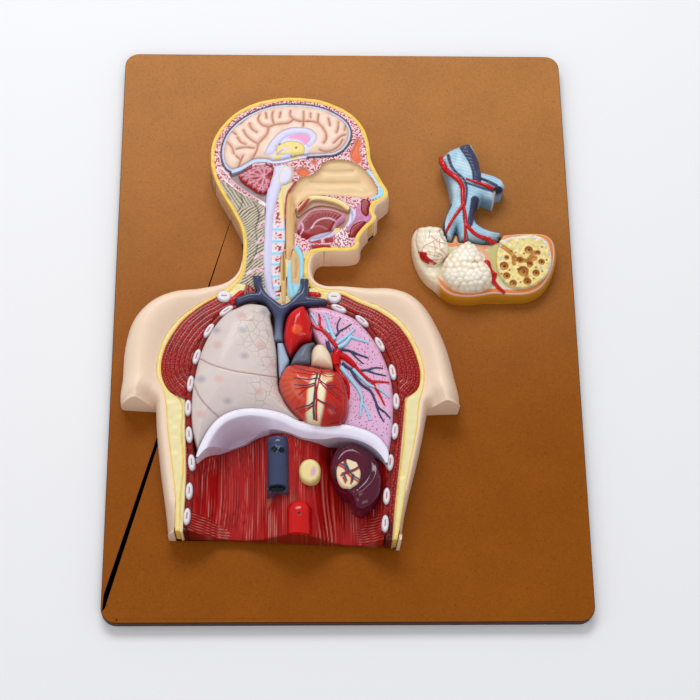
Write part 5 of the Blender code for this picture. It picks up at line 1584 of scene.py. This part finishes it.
    def vessels(self, finish: PaintedResin) -> None:
        """Lays the branching vessels on the left lung and on the heart."""
        lung = (
            ("airways_left", "bronchi_left", "bronchus", SKY, [
                ([(-12, -43), (-5, -38), (2, -32), (7, -26.6)], 3.6, 2.2),
                ([(-9, -46), (-3, -43), (3, -35), (10, -37.6), (20, -40.6)], 4.6, 2.2),
                ([(-12, -38), (-15, -30), (-17.6, -22), (-20.6, -12)], 4.2, 2.6),
                ([(-17, -31), (-20.6, -26)], 3.0, 2.2), ([(-34, -11), (-31, -17), (-28, -23)], 2.6, 2.0),
                ([(-6, -66), (-2, -72), (4, -80), (10, -89), (13, -98), (12, -104), (11, -115)], 4.6, 2.2),
                ([(12, -101), (16, -106), (20, -119)], 2.8, 1.8),
                ([(5, -68), (13, -77), (20, -84), (27, -86.6), (33, -91), (38.6, -96)], 4.0, 1.8)]),
            ("veins_left", "pulmonary_veins_left", "vein", NAVY, [
                ([(-19, -40), (-18, -45), (-16, -51)], 3.6, 4.6),
                ([(-15, -36.6), (-10, -33), (-7, -29), (-2, -26), (4, -21.6)], 2.6, 1.3),
                ([(-8.6, -30), (-9.6, -24), (-8, -18.6), (-6, -15.4)], 1.8, 1.2),
                ([(-14, -48.4), (-6, -48), (2, -49.4), (10, -53), (19.6, -56.6)], 3.4, 1.5),
                ([(3, -50), (8, -56), (14.6, -62.4)], 2.0, 1.2),
                ([(-5, -62), (1, -67), (6, -69), (18, -68.6), (26, -66.4), (33, -67)], 3.2, 1.5),
                ([(17, -68.8), (25, -72), (36, -74.6)], 2.0, 1.4),
                ([(3, -68), (7, -76), (13, -83.6), (21, -90), (25, -99), (28, -106), (34, -111),
                  (39, -117)], 3.2, 1.5),
                ([(26, -103), (28.6, -112), (33, -120.6)], 2.2, 1.4)]),
            ("arteries_left", "pulmonary_arteries_left", "artery", RED, [
                ([(-9.6, -45.6), (-14.6, -39), (-19, -33), (-24, -28)], 4.6, 3.2),
                ([(-23, -29), (-26, -22), (-26, -16), (-26.8, -11.6)], 3.0, 1.8),
                ([(-24, -28), (-30, -25.6), (-34, -20), (-36.4, -14)], 3.0, 1.8),
                ([(-8, -50), (-11, -56), (-10.6, -64)], 9.0, 9.0),
                ([(-8, -53), (0, -58), (7, -65)], 7.0, 5.0),
                ([(7, -66), (14, -74), (22, -80), (30, -80.6), (38.6, -81.4)], 4.4, 1.8),
                ([(22, -80), (26, -87), (30, -95), (34, -104)], 3.2, 1.6),
                ([(-11, -63), (-8, -72), (-1, -81), (0.8, -90), (0.6, -98)], 5.6, 1.8)]),
        )
        for name, node, slot, colour, branches in lung:
            vessel_tree(name, [Vessel(tuple(path), a, b, colour) for path, a, b in branches],
                        "lung_left", self.drawing, finish, [node], slot)
        dark, red = "#4A4258", "#C01A14"
        heart = [
            ([(-29, -67), (-28.5, -72), (-30, -79), (-30.6, -88), (-31.6, -97), (-32.2, -108),
              (-31.6, -119)], 1.7, 1.9, dark),
            ([(-25.6, -68), (-26, -74), (-27.5, -81), (-29.4, -90), (-29.4, -98), (-29.8, -108),
              (-29.4, -120)], 1.6, 1.9, red),
            ([(-30, -71), (-37, -70), (-44, -68), (-50, -67)], 1.2, 0.7, dark),
            ([(-30, -77), (-36, -78.4), (-44, -77.4), (-51, -76.6)], 1.2, 0.7, dark),
            ([(-31, -82), (-38, -84), (-50, -83.6)], 1.2, 0.7, dark),
            ([(-31.6, -100), (-36, -104), (-43, -105.5), (-49, -108.5)], 1.6, 0.8, dark),
            ([(-28, -72), (-33, -73.6), (-42, -72), (-51, -71)], 1.2, 0.7, red),
            ([(-28, -73), (-34, -67), (-38, -63), (-41, -60)], 1.1, 0.7, red),
            ([(-31, -84), (-39, -87.6), (-46, -94)], 1.4, 0.8, red),
            ([(-31, -84), (-42, -86.6), (-50, -88)], 1.2, 0.7, red),
            ([(-32, -103.5), (-38, -109), (-44, -112)], 1.4, 0.8, red),
            ([(-34, -105), (-41, -108.4), (-49, -110.4)], 1.2, 0.7, red),
            ([(-28, -77), (-24, -81), (-19, -84), (-11, -84)], 1.3, 0.7, dark),
            ([(-21, -83), (-13, -91), (-7, -96)], 1.2, 0.7, dark),
            ([(-30.5, -97), (-24, -101), (-16, -104), (-11, -110)], 1.6, 0.8, dark),
            ([(-25, -70), (-20, -73), (-14, -73)], 1.1, 0.7, dark),
            ([(-26, -81), (-19, -89), (-12, -95), (-6, -100)], 1.5, 0.8, red),
            ([(-25, -72), (-19, -75.6), (-11, -74.6)], 1.2, 0.7, red),
            ([(-29.5, -98), (-22, -103), (-16, -107), (-9, -107)], 1.5, 0.8, red),
            ([(-19, -87), (-11, -86.6), (-4, -92)], 1.1, 0.7, red),
            ([(-16, -107), (-12, -113)], 1.0, 0.7, red),
        ]
        vessel_tree("heart_vessels", [Vessel(tuple(path), a, b, colour) for path, a, b, colour in heart],
                    "heart_muscle", self.drawing, finish, ["coronary_vessels"], "coronary", 0.5)


# ---------------------------------------------------------------- the abdomen


@dataclass
class Abdomen:
    """The empty upper abdomen: diaphragm, back wall, great vessels, gullet end and spleen."""

    section: float = 42.0
    band_top: float = 54.5

    def build(self) -> None:
        """Builds every piece of the abdomen."""
        relief("diaphragm_dome", self.diaphragm, GLOSSY, ["diaphragm"], "diaphragm")
        relief("back_wall", self.wall, GLOSSY, ["abdominal_wall"], "abdominal_muscle")
        relief("lower_vena_cava", self.cava, WET, ["inferior_vena_cava"], "vein", step=0.6)
        relief("aorta_stub", self.aorta, WET, ["abdominal_aorta"], "aorta", step=0.6)
        relief("gullet_end", self.gullet, GLOSSY, ["oesophagus_stub"], "gullet_end", step=0.6)
        relief("spleen_body", self.spleen, PaintedResin("painted_resin_deep_gloss", 0.12, 0.7, bump=0.02),
               ["spleen"], "spleen", seated=[])
        relief("spleen_hilum_plate", self.hilum, PLAIN, ["spleen_hilum"], "hilum", step=0.6)
        relief("vertebra_section", self.vertebra, PLAIN, ["lumbar_vertebra"], "bone", step=0.6)

    def diaphragm(self, face: Face) -> None:
        """Carves and paints the diaphragm: a pale rim with a painted highlight along it, over a mauve vault
        that darkens with painted shade.
        """
        rim = smooth_path([
            (-140, -158), (-137, -147), (-124, -123), (-113, -114), (-96, -109), (-78, -109.6), (-60, -114),
            (-44, -121.6), (-23, -123), (-1, -125), (13, -129), (27, -136.6), (35, -148), (38, -160)])
        down = line_distance(face.x, face.y, rim, False)[0]
        foot = np.interp(face.x, [-140, -125, -112, -96, -82, -70, -41, -20, 10, 38],
                         [44, 34, 24, 24, 34, 45, 45, 45, 46, 48])
        width = np.interp(face.x, [-140, -110, -80, -45, -20, 38], [6, 7, 7, 7.5, 10, 9])
        slope = clamp((down - width) / 13)
        face.z = self.band_top - 1.2 * (1 - clamp(down / 2.5)) ** 2 - (self.band_top - foot) * slope ** 1.1
        face.paint("#E6E0F2")
        face.paint("#DCCCE0", clamp((down - width + 1) / 3))
        # Painted shade: the mauve vault darkens down its slope, under the overhanging band.
        face.paint("#BEA6C2", 0.6 * clamp(slope * 1.4 - 0.4))
        # Painted highlight: a near-white strip along the lit top of the band.
        face.paint("#F4F2FA", 0.7 * np.exp(-(((down - 3) / 2.4) ** 2)))

    def wall(self, face: Face) -> None:
        """Carves and paints the muscles of the back wall with their running fibres."""
        rise = np.interp(face.x, [-146, -134, -120, -95, -78, -64, -58, -36, -28, -18, -4, 12, 24, 34],
                         [46, 34, 21, 20, 26, 38, 43, 43, 38, 26, 19, 20, 30, 47])
        top = clamp((face.y + 150) / 22) * clamp(1 - np.abs(face.x + 50) / 45)
        face.z = rise + 4 * top
        sway = 3.2 * face.noise(26, 60, seed=30)
        centre = clamp(1 - np.abs(face.x + 44) / 34)
        fan = (face.x + 40) / np.maximum(0.35 + np.clip((-128 - face.y) / 70, 0, 2), 0.2)
        run = np.where(centre > 0, face.x + sway + centre * (fan - face.x) * 0.35, face.x + sway)
        fibre = np.cos(2 * np.pi * (run + 0.5 * face.noise(6, 30, seed=34)) / 2.3)
        coarse = (0.75 * fibre * np.clip(0.75 + value_noise(run / 5, face.y / 25, 31), 0, 1.3)
                  + 0.55 * value_noise(run / 1.6, face.y / 30, 32))
        corner = np.maximum(face.patch([
            (-150, -203), (-128, -207), (-108, -218), (-112, -240), (-155, -240)], 4),
            face.patch([(40, -200), (22, -206), (8, -216), (10, -240), (44, -240)], 4))
        flat = np.cos(2 * np.pi * (face.y + 0.12 * face.x + 0.6 * face.noise(12, seed=33)) / 2.6)
        grain = coarse * (1 - corner) + flat * corner
        face.z += 0.4 * grain
        face.paint("#AA1210")
        face.paint("#5C0606", 0.8 * clamp(-grain * 1.5 - 0.2))
        face.paint("#D0584E", 0.7 * clamp(grain * 2.2 - 0.7))
        face.paint("#E8A49A", 0.5 * clamp(grain * 2.6 - 2.0))
        face.paint("#7A0808", 0.6 * face.rim(2.4))

    def cava(self, face: Face) -> None:
        """Carves and paints the inferior vena cava with its openings, painted near black as painted shade
        inside them.
        """
        across = clamp(np.abs(face.x + 64.8) / 10.3)
        face.z = 41 + 10 * np.sqrt(1 - across**2)
        face.z -= 2.5 * clamp((face.y + 140) / 6) ** 2
        face.project(42)
        face.paint("#3A4262")
        face.paint("#2A3048", 0.7 * clamp(across * 1.6 - 0.7))
        for x, y in ((-68.6, -144.6), (-61.6, -145.4)):
            face.z -= 2.2 * face.oval(x, y, 4.6, 4.6, soft=1.2)
            face.z += 0.9 * (face.oval(x, y, 7.4, 7.4, soft=1.4) - face.oval(x, y, 4.8, 4.8))
            # Painted shade: near black inside each small opening.
            face.paint("#12141E", face.oval(x, y, 4.4, 4.4, soft=1.0))
        mouth = face.oval(-65.6, -182, 15, 6.4, soft=1.4)
        face.z -= 6 * mouth
        # Painted shade: near black inside the open lower end.
        face.paint("#0A0B12", mouth)

    def aorta(self, face: Face) -> None:
        """Carves and paints the stub of the aorta."""
        across = clamp(np.abs(face.x + 45.5) / 12)
        face.z = 40 + 11 * np.sqrt(1 - across**2) - 5 * clamp((face.y + 206) / 11) ** 2
        face.paint("#CC0A08")
        face.paint("#840404", 0.6 * clamp(across * 1.8 - 0.9))
        face.paint("#3A0202", face.oval(-45.5, -208.5, 2.6, 2.6))
        face.z -= 1.0 * face.oval(-45.5, -208.5, 2.6, 2.6)

    def gullet(self, face: Face) -> None:
        """Carves and paints the cut end of the gullet."""
        face.flat(51.0)
        face.soften(3.6, 3.0)
        face.paint("#EFDA98")
        face.paint("#D8B468", 0.7 * face.rim(2.4))
        face.project(42)
        face.paint("#DFA8C0", face.oval(-32.4, -166, 5, 9, -18, soft=2))

    def spleen(self, face: Face) -> None:
        """Carves and paints the spleen."""
        face.dome(44, 53, 9)
        face.project(42)
        ridge = [(24, -141), (27, -156), (24, -172), (14, -184), (4, -190)]
        face.z += 1.6 * np.exp(-((face.gap(ridge, reach=9) / 2.0) ** 2))
        inner = [(-12, -150), (-6, -144), (4, -142), (14, -147), (20, -157), (18, -170), (10, -181)]
        face.z -= 1.0 * np.exp(-((face.gap(inner, reach=9) / 2.6) ** 2))
        face.paint("#560828")
        face.paint("#360620", 0.6 * np.exp(-((face.gap(inner, reach=9) / 3.4) ** 2)))

    def hilum(self, face: Face) -> None:
        """Carves and paints the pale hilum of the spleen with its cut vessels."""
        face.flat(54.5)
        face.soften(2.2, 1.8)
        face.paint("#EDDAB2")
        face.project(42)
        for colour, offset in (("#C01410", 0.0), ("#454A66", 1.9)):
            for path in ([(-9, -160), (-4, -163), (-1, -168), (3, -172), (9, -176)],
                         [(-3, -153), (-4, -158), (-1, -166)],
                         [(-7, -170), (-2, -168), (4, -166), (9, -163)], [(-5, -172), (-3, -177)],
                         [(3, -171), (2, -178)]):
                face.rod([(x + offset * 0.6, y + offset) for x, y in path], 2.0, 1.6, 0.8, colour)

    def vertebra(self, face: Face) -> None:
        """Carves and paints the sawn vertebra at the lower end."""
        face.flat(32.5)
        face.paint("#F0E4E0")


# ---------------------------------------------------------------- the lobule


@dataclass
class Lobule:
    """The lung lobule: an airway with its vessels, two clusters of alveoli and a sectioned lobule."""

    drawing: float = 30.0

    def build(self) -> None:
        """Builds every piece of the lobule."""
        relief("airway_tree", self.airway, GLOSSY, ["bronchiole"], "airway", step=0.7)
        relief("alveoli_cluster_left", self.alveoli_left, WET, ["alveoli_left"], "alveoli", step=0.6)
        relief("alveoli_cluster_centre", self.alveoli_centre, WET, ["alveoli_centre"], "alveoli", step=0.6)
        relief("lobule_tissue_base", self.tissue, GLOSSY, ["lobule_base"], "lobule_tissue", step=0.7,
               seated=["alveoli_left", "alveoli_centre", "lobule_section"])
        relief("lobule_cut", self.cut, GLOSSY, ["lobule_section"], "lobule_section", step=0.6)
        branches = [([(97, 166), (101, 155), (108, 149), (114, 143), (117, 136), (117, 126), (117, 115)],
                     6.4, 4.2),
                    ([(117, 116), (110, 106), (104, 96), (99, 85)], 3.6, 2.8),
                    ([(117, 116), (119, 104), (118.6, 94), (118, 84), (117, 70)], 3.4, 2.4),
                    ([(118.6, 96), (124, 88), (130, 82), (140, 78), (149, 71)], 3.6, 4.4),
                    ([(121, 145.6), (132, 141), (142, 137), (147.6, 133.6)], 2.0, 4.6)]
        vessel_tree("lobule_arteries", [Vessel(tuple(path), a, b, RED) for path, a, b in branches],
                    "airway_tree", self.drawing, WET, ["lobule_artery"], "artery", 0.4)

    def airway(self, face: Face) -> None:
        """Carves and paints the branching airway and the veins along it."""
        face.dome(24, 36.5, 8)
        face.project(self.drawing)
        face.paint("#9FC8DE")
        face.paint("#CBE4F0", 0.7 * clamp(face.noise(5, 9, seed=40) * 1.5))
        ring = np.cos(2 * np.pi * (face.y + 0.35 * face.x + 0.8 * face.noise(7, seed=48)) / 3.4)
        face.z += 0.25 * ring
        face.paint("#D6EAF4", 0.35 * clamp(ring))
        face.paint("#5E93B4", 0.6 * face.rim(2.5))
        for path, start, end, rise in (
                ([(121, 182), (128, 168), (131.6, 155), (132, 144)], 11, 8.6, 2.0),
                ([(104, 172), (107, 160), (112, 152), (118, 146), (121, 138), (121, 128), (119, 116)], 3.4,
                 1.8, 1.0),
                ([(104, 116), (98.6, 104), (96.6, 92), (98.6, 82), (99.4, 72)], 4.2, 2.6, 1.4),
                ([(129, 122), (127, 112), (124.6, 102), (123, 95)], 8.4, 5.6, 1.5),
                ([(121, 141), (134, 136), (147, 131.6)], 2.0, 2.2, 0.8),
                ([(133, 147), (142, 143), (151, 138)], 3.4, 3.6, 1.2),
                ([(117, 112), (117, 100), (119, 90), (121, 76)], 1.5, 1.2, 0.5),
                ([(134, 79), (141, 75), (148, 70.6)], 1.6, 2.4, 0.6),
                ([(150, 80), (156, 78), (163, 74)], 2.0, 2.4, 0.6)):
            face.rod(path, start, end, rise, NAVY)
        knob = face.oval(152.6, 132, 10.6, 10.6, soft=1.6)
        face.z += 1.6 * knob
        face.paint("#262A40", knob)
        face.draw("#E8D6DC", [(149, 130), (146, 115)], 1.6)

    def alveoli_left(self, face: Face) -> None:
        """Carves and paints the left cluster with its capillary net, and painted shade in the creases
        between its beads.
        """
        face.dome(29, 40, 14)
        face.project(self.drawing)
        smooth = face.z.copy()
        near = face.beads(7.5, 3.2, 41, 0.4)
        face.z = smooth + (face.z - smooth) * (0.12 + 0.88 * face.rim(10, 4))
        face.paint("#F6E9D0")
        # Painted shade: the creases between the beads near the edge are darkened.
        face.paint("#CDB88E", 0.6 * clamp(1 - near * 1.5) * face.rim(12, 4))
        net = [[(74, 61), (76, 68), (83, 74), (91, 79)], [(76, 62), (84, 64), (94, 60), (95, 53)],
               [(84, 54), (91, 55), (99, 55)], [(82, 71), (90, 68), (96, 62)],
               [(86, 76), (88, 66), (86, 58)],
               [(92, 77), (93, 68), (98, 60)], [(80, 66), (84, 60), (92, 58)],
               [(84, 82), (90, 76), (97, 72)]]
        face.furrow(net, 0.8, -0.3, "#B8443C", 0.7)
        face.furrow([[(83, 86), (82, 80)], [(92, 86), (95, 78), (98, 74)], [(90, 84), (94, 88)]], 0.8, -0.2,
                    "#4A506A", 0.7)
        self.star(face, ([(67, 58), (74, 59), (79, 55), (87, 49.6)], [(74, 57), (78, 50), (81, 44)],
                         [(70, 60), (78, 60.6)], [(72, 56), (76, 54)]))

    def star(self, face: Face, arms: Iterable[Path]) -> None:
        """Lays a star of thick red vessels."""
        for arm in arms:
            face.rod(arm, 7.4, 3.4, 2.0, "#C00C14")

    def alveoli_centre(self, face: Face) -> None:
        """Carves and paints the middle cluster, with painted shade in the creases between its beads and a
        painted highlight on each bead.
        """
        face.dome(29, 43, 15)
        face.project(self.drawing)
        near = face.beads(6.0, 3.0, 43, 0.5)
        face.paint("#F3E2C4")
        # Painted shade: the creases between the beads are darkened.
        face.paint("#BFA26C", 0.8 * clamp(1 - near * 1.6))
        # Painted highlight: a near-white spot on the top of each bead.
        face.paint("#FFFDF6", 0.9 * clamp(near * 4 - 3))

    def tissue(self, face: Face) -> None:
        """Carves and paints the base: a cut rim of tissue round the clusters."""
        face.dome(19, 29, 6)
        face.project(self.drawing)
        face.paint("#D9D2A8")
        west = clamp((92 - face.x) / 5)
        face.paint("#E3863E", face.rim(8.2, 1.0))
        face.paint("#E7D6DE", clamp(1 - np.abs(face.depth - 8.6) / 0.9))
        face.paint("#EBD2D6", clamp(1 - np.abs(face.depth - 3.6) / 0.8))
        face.paint("#C4861E", face.rim(3.0, 0.8))
        smooth = face.z.copy()
        near = face.beads(7.8, 2.6, 45, 0.4)
        face.z = smooth + (face.z - smooth) * west
        face.paint("#EFE3C8", west)
        # Painted shade: the creases between the beads on the western part are darkened.
        face.paint("#CDB88E", 0.6 * west * clamp(1 - near * 1.5))
        face.paint("#C3BC7C", face.patch([(140, 72), (152, 72), (152, 46), (145, 40), (140, 48)], 2))
        face.draw("#E8A882", [(126, 68), (134, 67), (138.6, 60), (139.6, 48)], 4.4)
        face.draw("#EFDDE2", [(130, 64), (135.6, 60), (136, 50)], 1.2)
        self.star(face, (
            [(133, 51), (138, 42), (143, 33), (148, 26), (153, 21)], [(138, 52), (141, 44), (146, 39.6)],
            [(140, 38), (136, 34)], [(143, 36), (146, 40)]))

    def cut(self, face: Face) -> None:
        """Carves and paints the sectioned lobule with its cut air sacs, with painted light and shade in
        their hollows.
        """
        face.flat(33.0 + 0.3 * face.noise(3, seed=46))
        face.soften(1.6, 1.4)
        face.project(self.drawing)
        face.paint("#EFDB92")
        face.paint("#D6B75C", 0.6 * clamp(face.noise(2.2, seed=47) * 2))
        rim = [(152, 72), (160, 76.4), (174, 78.6), (186, 79), (195, 74), (199.6, 62), (198, 47), (191, 35),
               (180, 27.6)]
        face.draw("#E6D6DE", [
            (152, 75), (162, 79), (176, 81), (188, 80.6), (198, 75), (202, 62), (200, 47), (193, 33),
            (181, 24), (166, 21.6), (154, 26)], 1.6)
        ducts = [[(152, 72), (160, 66), (165, 60), (165, 52)], [(165, 58), (172, 56), (180, 55), (186, 58)],
                 [(172, 46), (176, 40), (177, 33)], [(186, 64), (180, 56), (180, 50)]]
        for duct in ducts:
            face.z -= 0.8 * face.stroke(duct, 4.0, 1.6)
            face.paint("#B9722A", 0.9 * face.stroke(duct, 4.4))
        holes = ((180, 67, 8.4), (171, 56, 7), (158, 58.6, 5), (189, 64, 5.4), (192, 54, 6.4),
                 (180.6, 52, 6.4),
                 (155, 49.6, 9), (173.4, 44, 11), (157, 39, 7.4), (186, 42, 7.4), (163, 31, 7.4),
                 (177, 33, 8))
        for x, y, size in holes:
            face.z -= 2.0 * face.oval(x, y, size * 0.8, size * 0.8, soft=1.4)
            face.paint("#B46A20", face.oval(x, y, size, size))
            # Painted light and shade in each hollow: a lighter patch on its lower side and a dark spot
            # towards its upper side.
            face.paint("#D8A04C", 0.7 * face.oval(x - 0.6, y - 0.8, size * 0.6, size * 0.6, soft=1.4))
            face.paint("#4A180A", face.oval(x + 0.4, y + 0.4, size * 0.34, size * 0.34, soft=0.9))
        face.paint("#8A3A14", face.dots((
            (167, 64), (175, 63), (168, 46), (160, 45), (193, 70), (152, 41), (183, 36), (170, 32),
            (192, 44), (197, 56), (163, 66), (186, 48)), 2.0))
        face.paint("#A8CCDC", face.dots([rim[k] for k in range(len(rim))] + [
            (153, 58), (151, 46), (154, 33), (168, 25), (168, 72), (191, 48)], 2.6))


# ---------------------------------------------------------------- floor, light and camera


@dataclass(frozen=True)
class SoftBox:
    """One rectangular soft light aimed at the board's middle; metres and watts."""

    name: str
    place: tuple[float, float, float]
    size: tuple[float, float]
    power: float


@dataclass
class Studio:
    """A pale floor, soft light and the camera."""

    floor_side: float = 9.0
    floor_colour: str = "#F2F2F4"
    sky_colour: tuple[float, float, float] = (0.96, 0.97, 1.0)
    sky_strength: float = 0.46
    lights: tuple[SoftBox, ...] = (
        SoftBox("overhead", (-0.25, 1.5, 1.9), (1.6, 0.9), 32), SoftBox("left", (-1.6, -0.2, 1.5),
        (0.9, 0.9), 4), SoftBox("front", (0.7, -1.5, 2.0), (1.2, 1.2), 9))
    lens: float = 88.0
    eye: tuple[float, float, float] = (-0.05106, -0.66941, 1.53668)

    def build(self) -> None:
        """Builds the floor, the lights and the camera."""
        deselect_all()
        bpy.ops.mesh.primitive_plane_add(size=self.floor_side, location=(0, 0, 0))
        floor = bpy.context.object
        floor.name = floor.data.name = "floor"
        matt = bpy.data.materials.new("matt_paper_floor")
        matt.use_nodes = True
        shader = matt.node_tree.nodes["Principled BSDF"]
        shader.inputs["Base Color"].default_value = (*linear(self.floor_colour), 1.0)
        shader.inputs["Roughness"].default_value = 0.9
        floor.data.materials.append(matt)
        for light in self.lights:
            self.lamp(light)
        world = bpy.data.worlds.new("studio")
        world.use_nodes = True
        sky = world.node_tree.nodes["Background"]
        sky.inputs["Color"].default_value = (*self.sky_colour, 1.0)
        sky.inputs["Strength"].default_value = self.sky_strength
        scene = bpy.context.scene
        scene.world = world
        scene.view_settings.view_transform = "Standard"
        self.camera(scene)

    def lamp(self, box: SoftBox) -> None:
        """Adds one soft light."""
        light = bpy.data.lights.new(box.name, "AREA")
        light.shape = "RECTANGLE"
        light.size, light.size_y = box.size
        light.energy = box.power
        lamp = bpy.data.objects.new(box.name, light)
        bpy.context.scene.collection.objects.link(lamp)
        lamp.location = box.place
        lamp.rotation_euler = (-Vector(box.place)).to_track_quat("-Z", "Y").to_euler()

    def camera(self, scene: bpy.types.Scene) -> None:
        """Places the camera."""
        data = bpy.data.cameras.new("camera")
        data.lens = self.lens
        data.sensor_width = 36.0
        data.clip_start, data.clip_end = 0.05, 30
        camera = bpy.data.objects.new("camera", data)
        scene.collection.objects.link(camera)
        right = Vector((0.99944974, -0.01133967, 0.031171))
        up = Vector((-0.00155149, 0.9227367, 0.38542777))
        back = Vector((-0.03313325, -0.38526405, 0.92221136))
        turn = Matrix((right, up, back)).transposed()
        camera.matrix_world = Matrix.Translation(self.eye) @ turn.to_4x4()
        scene.camera = camera


def main() -> None:
    """Builds the model and its studio."""
    logging.basicConfig(level=logging.INFO, format="%(name)s: %(message)s")
    for part in (Board(), Figure(), HeadSection(), Chest(), Abdomen(), Lobule(), Studio()):
        part.build()


if __name__ == "__main__":
    main()
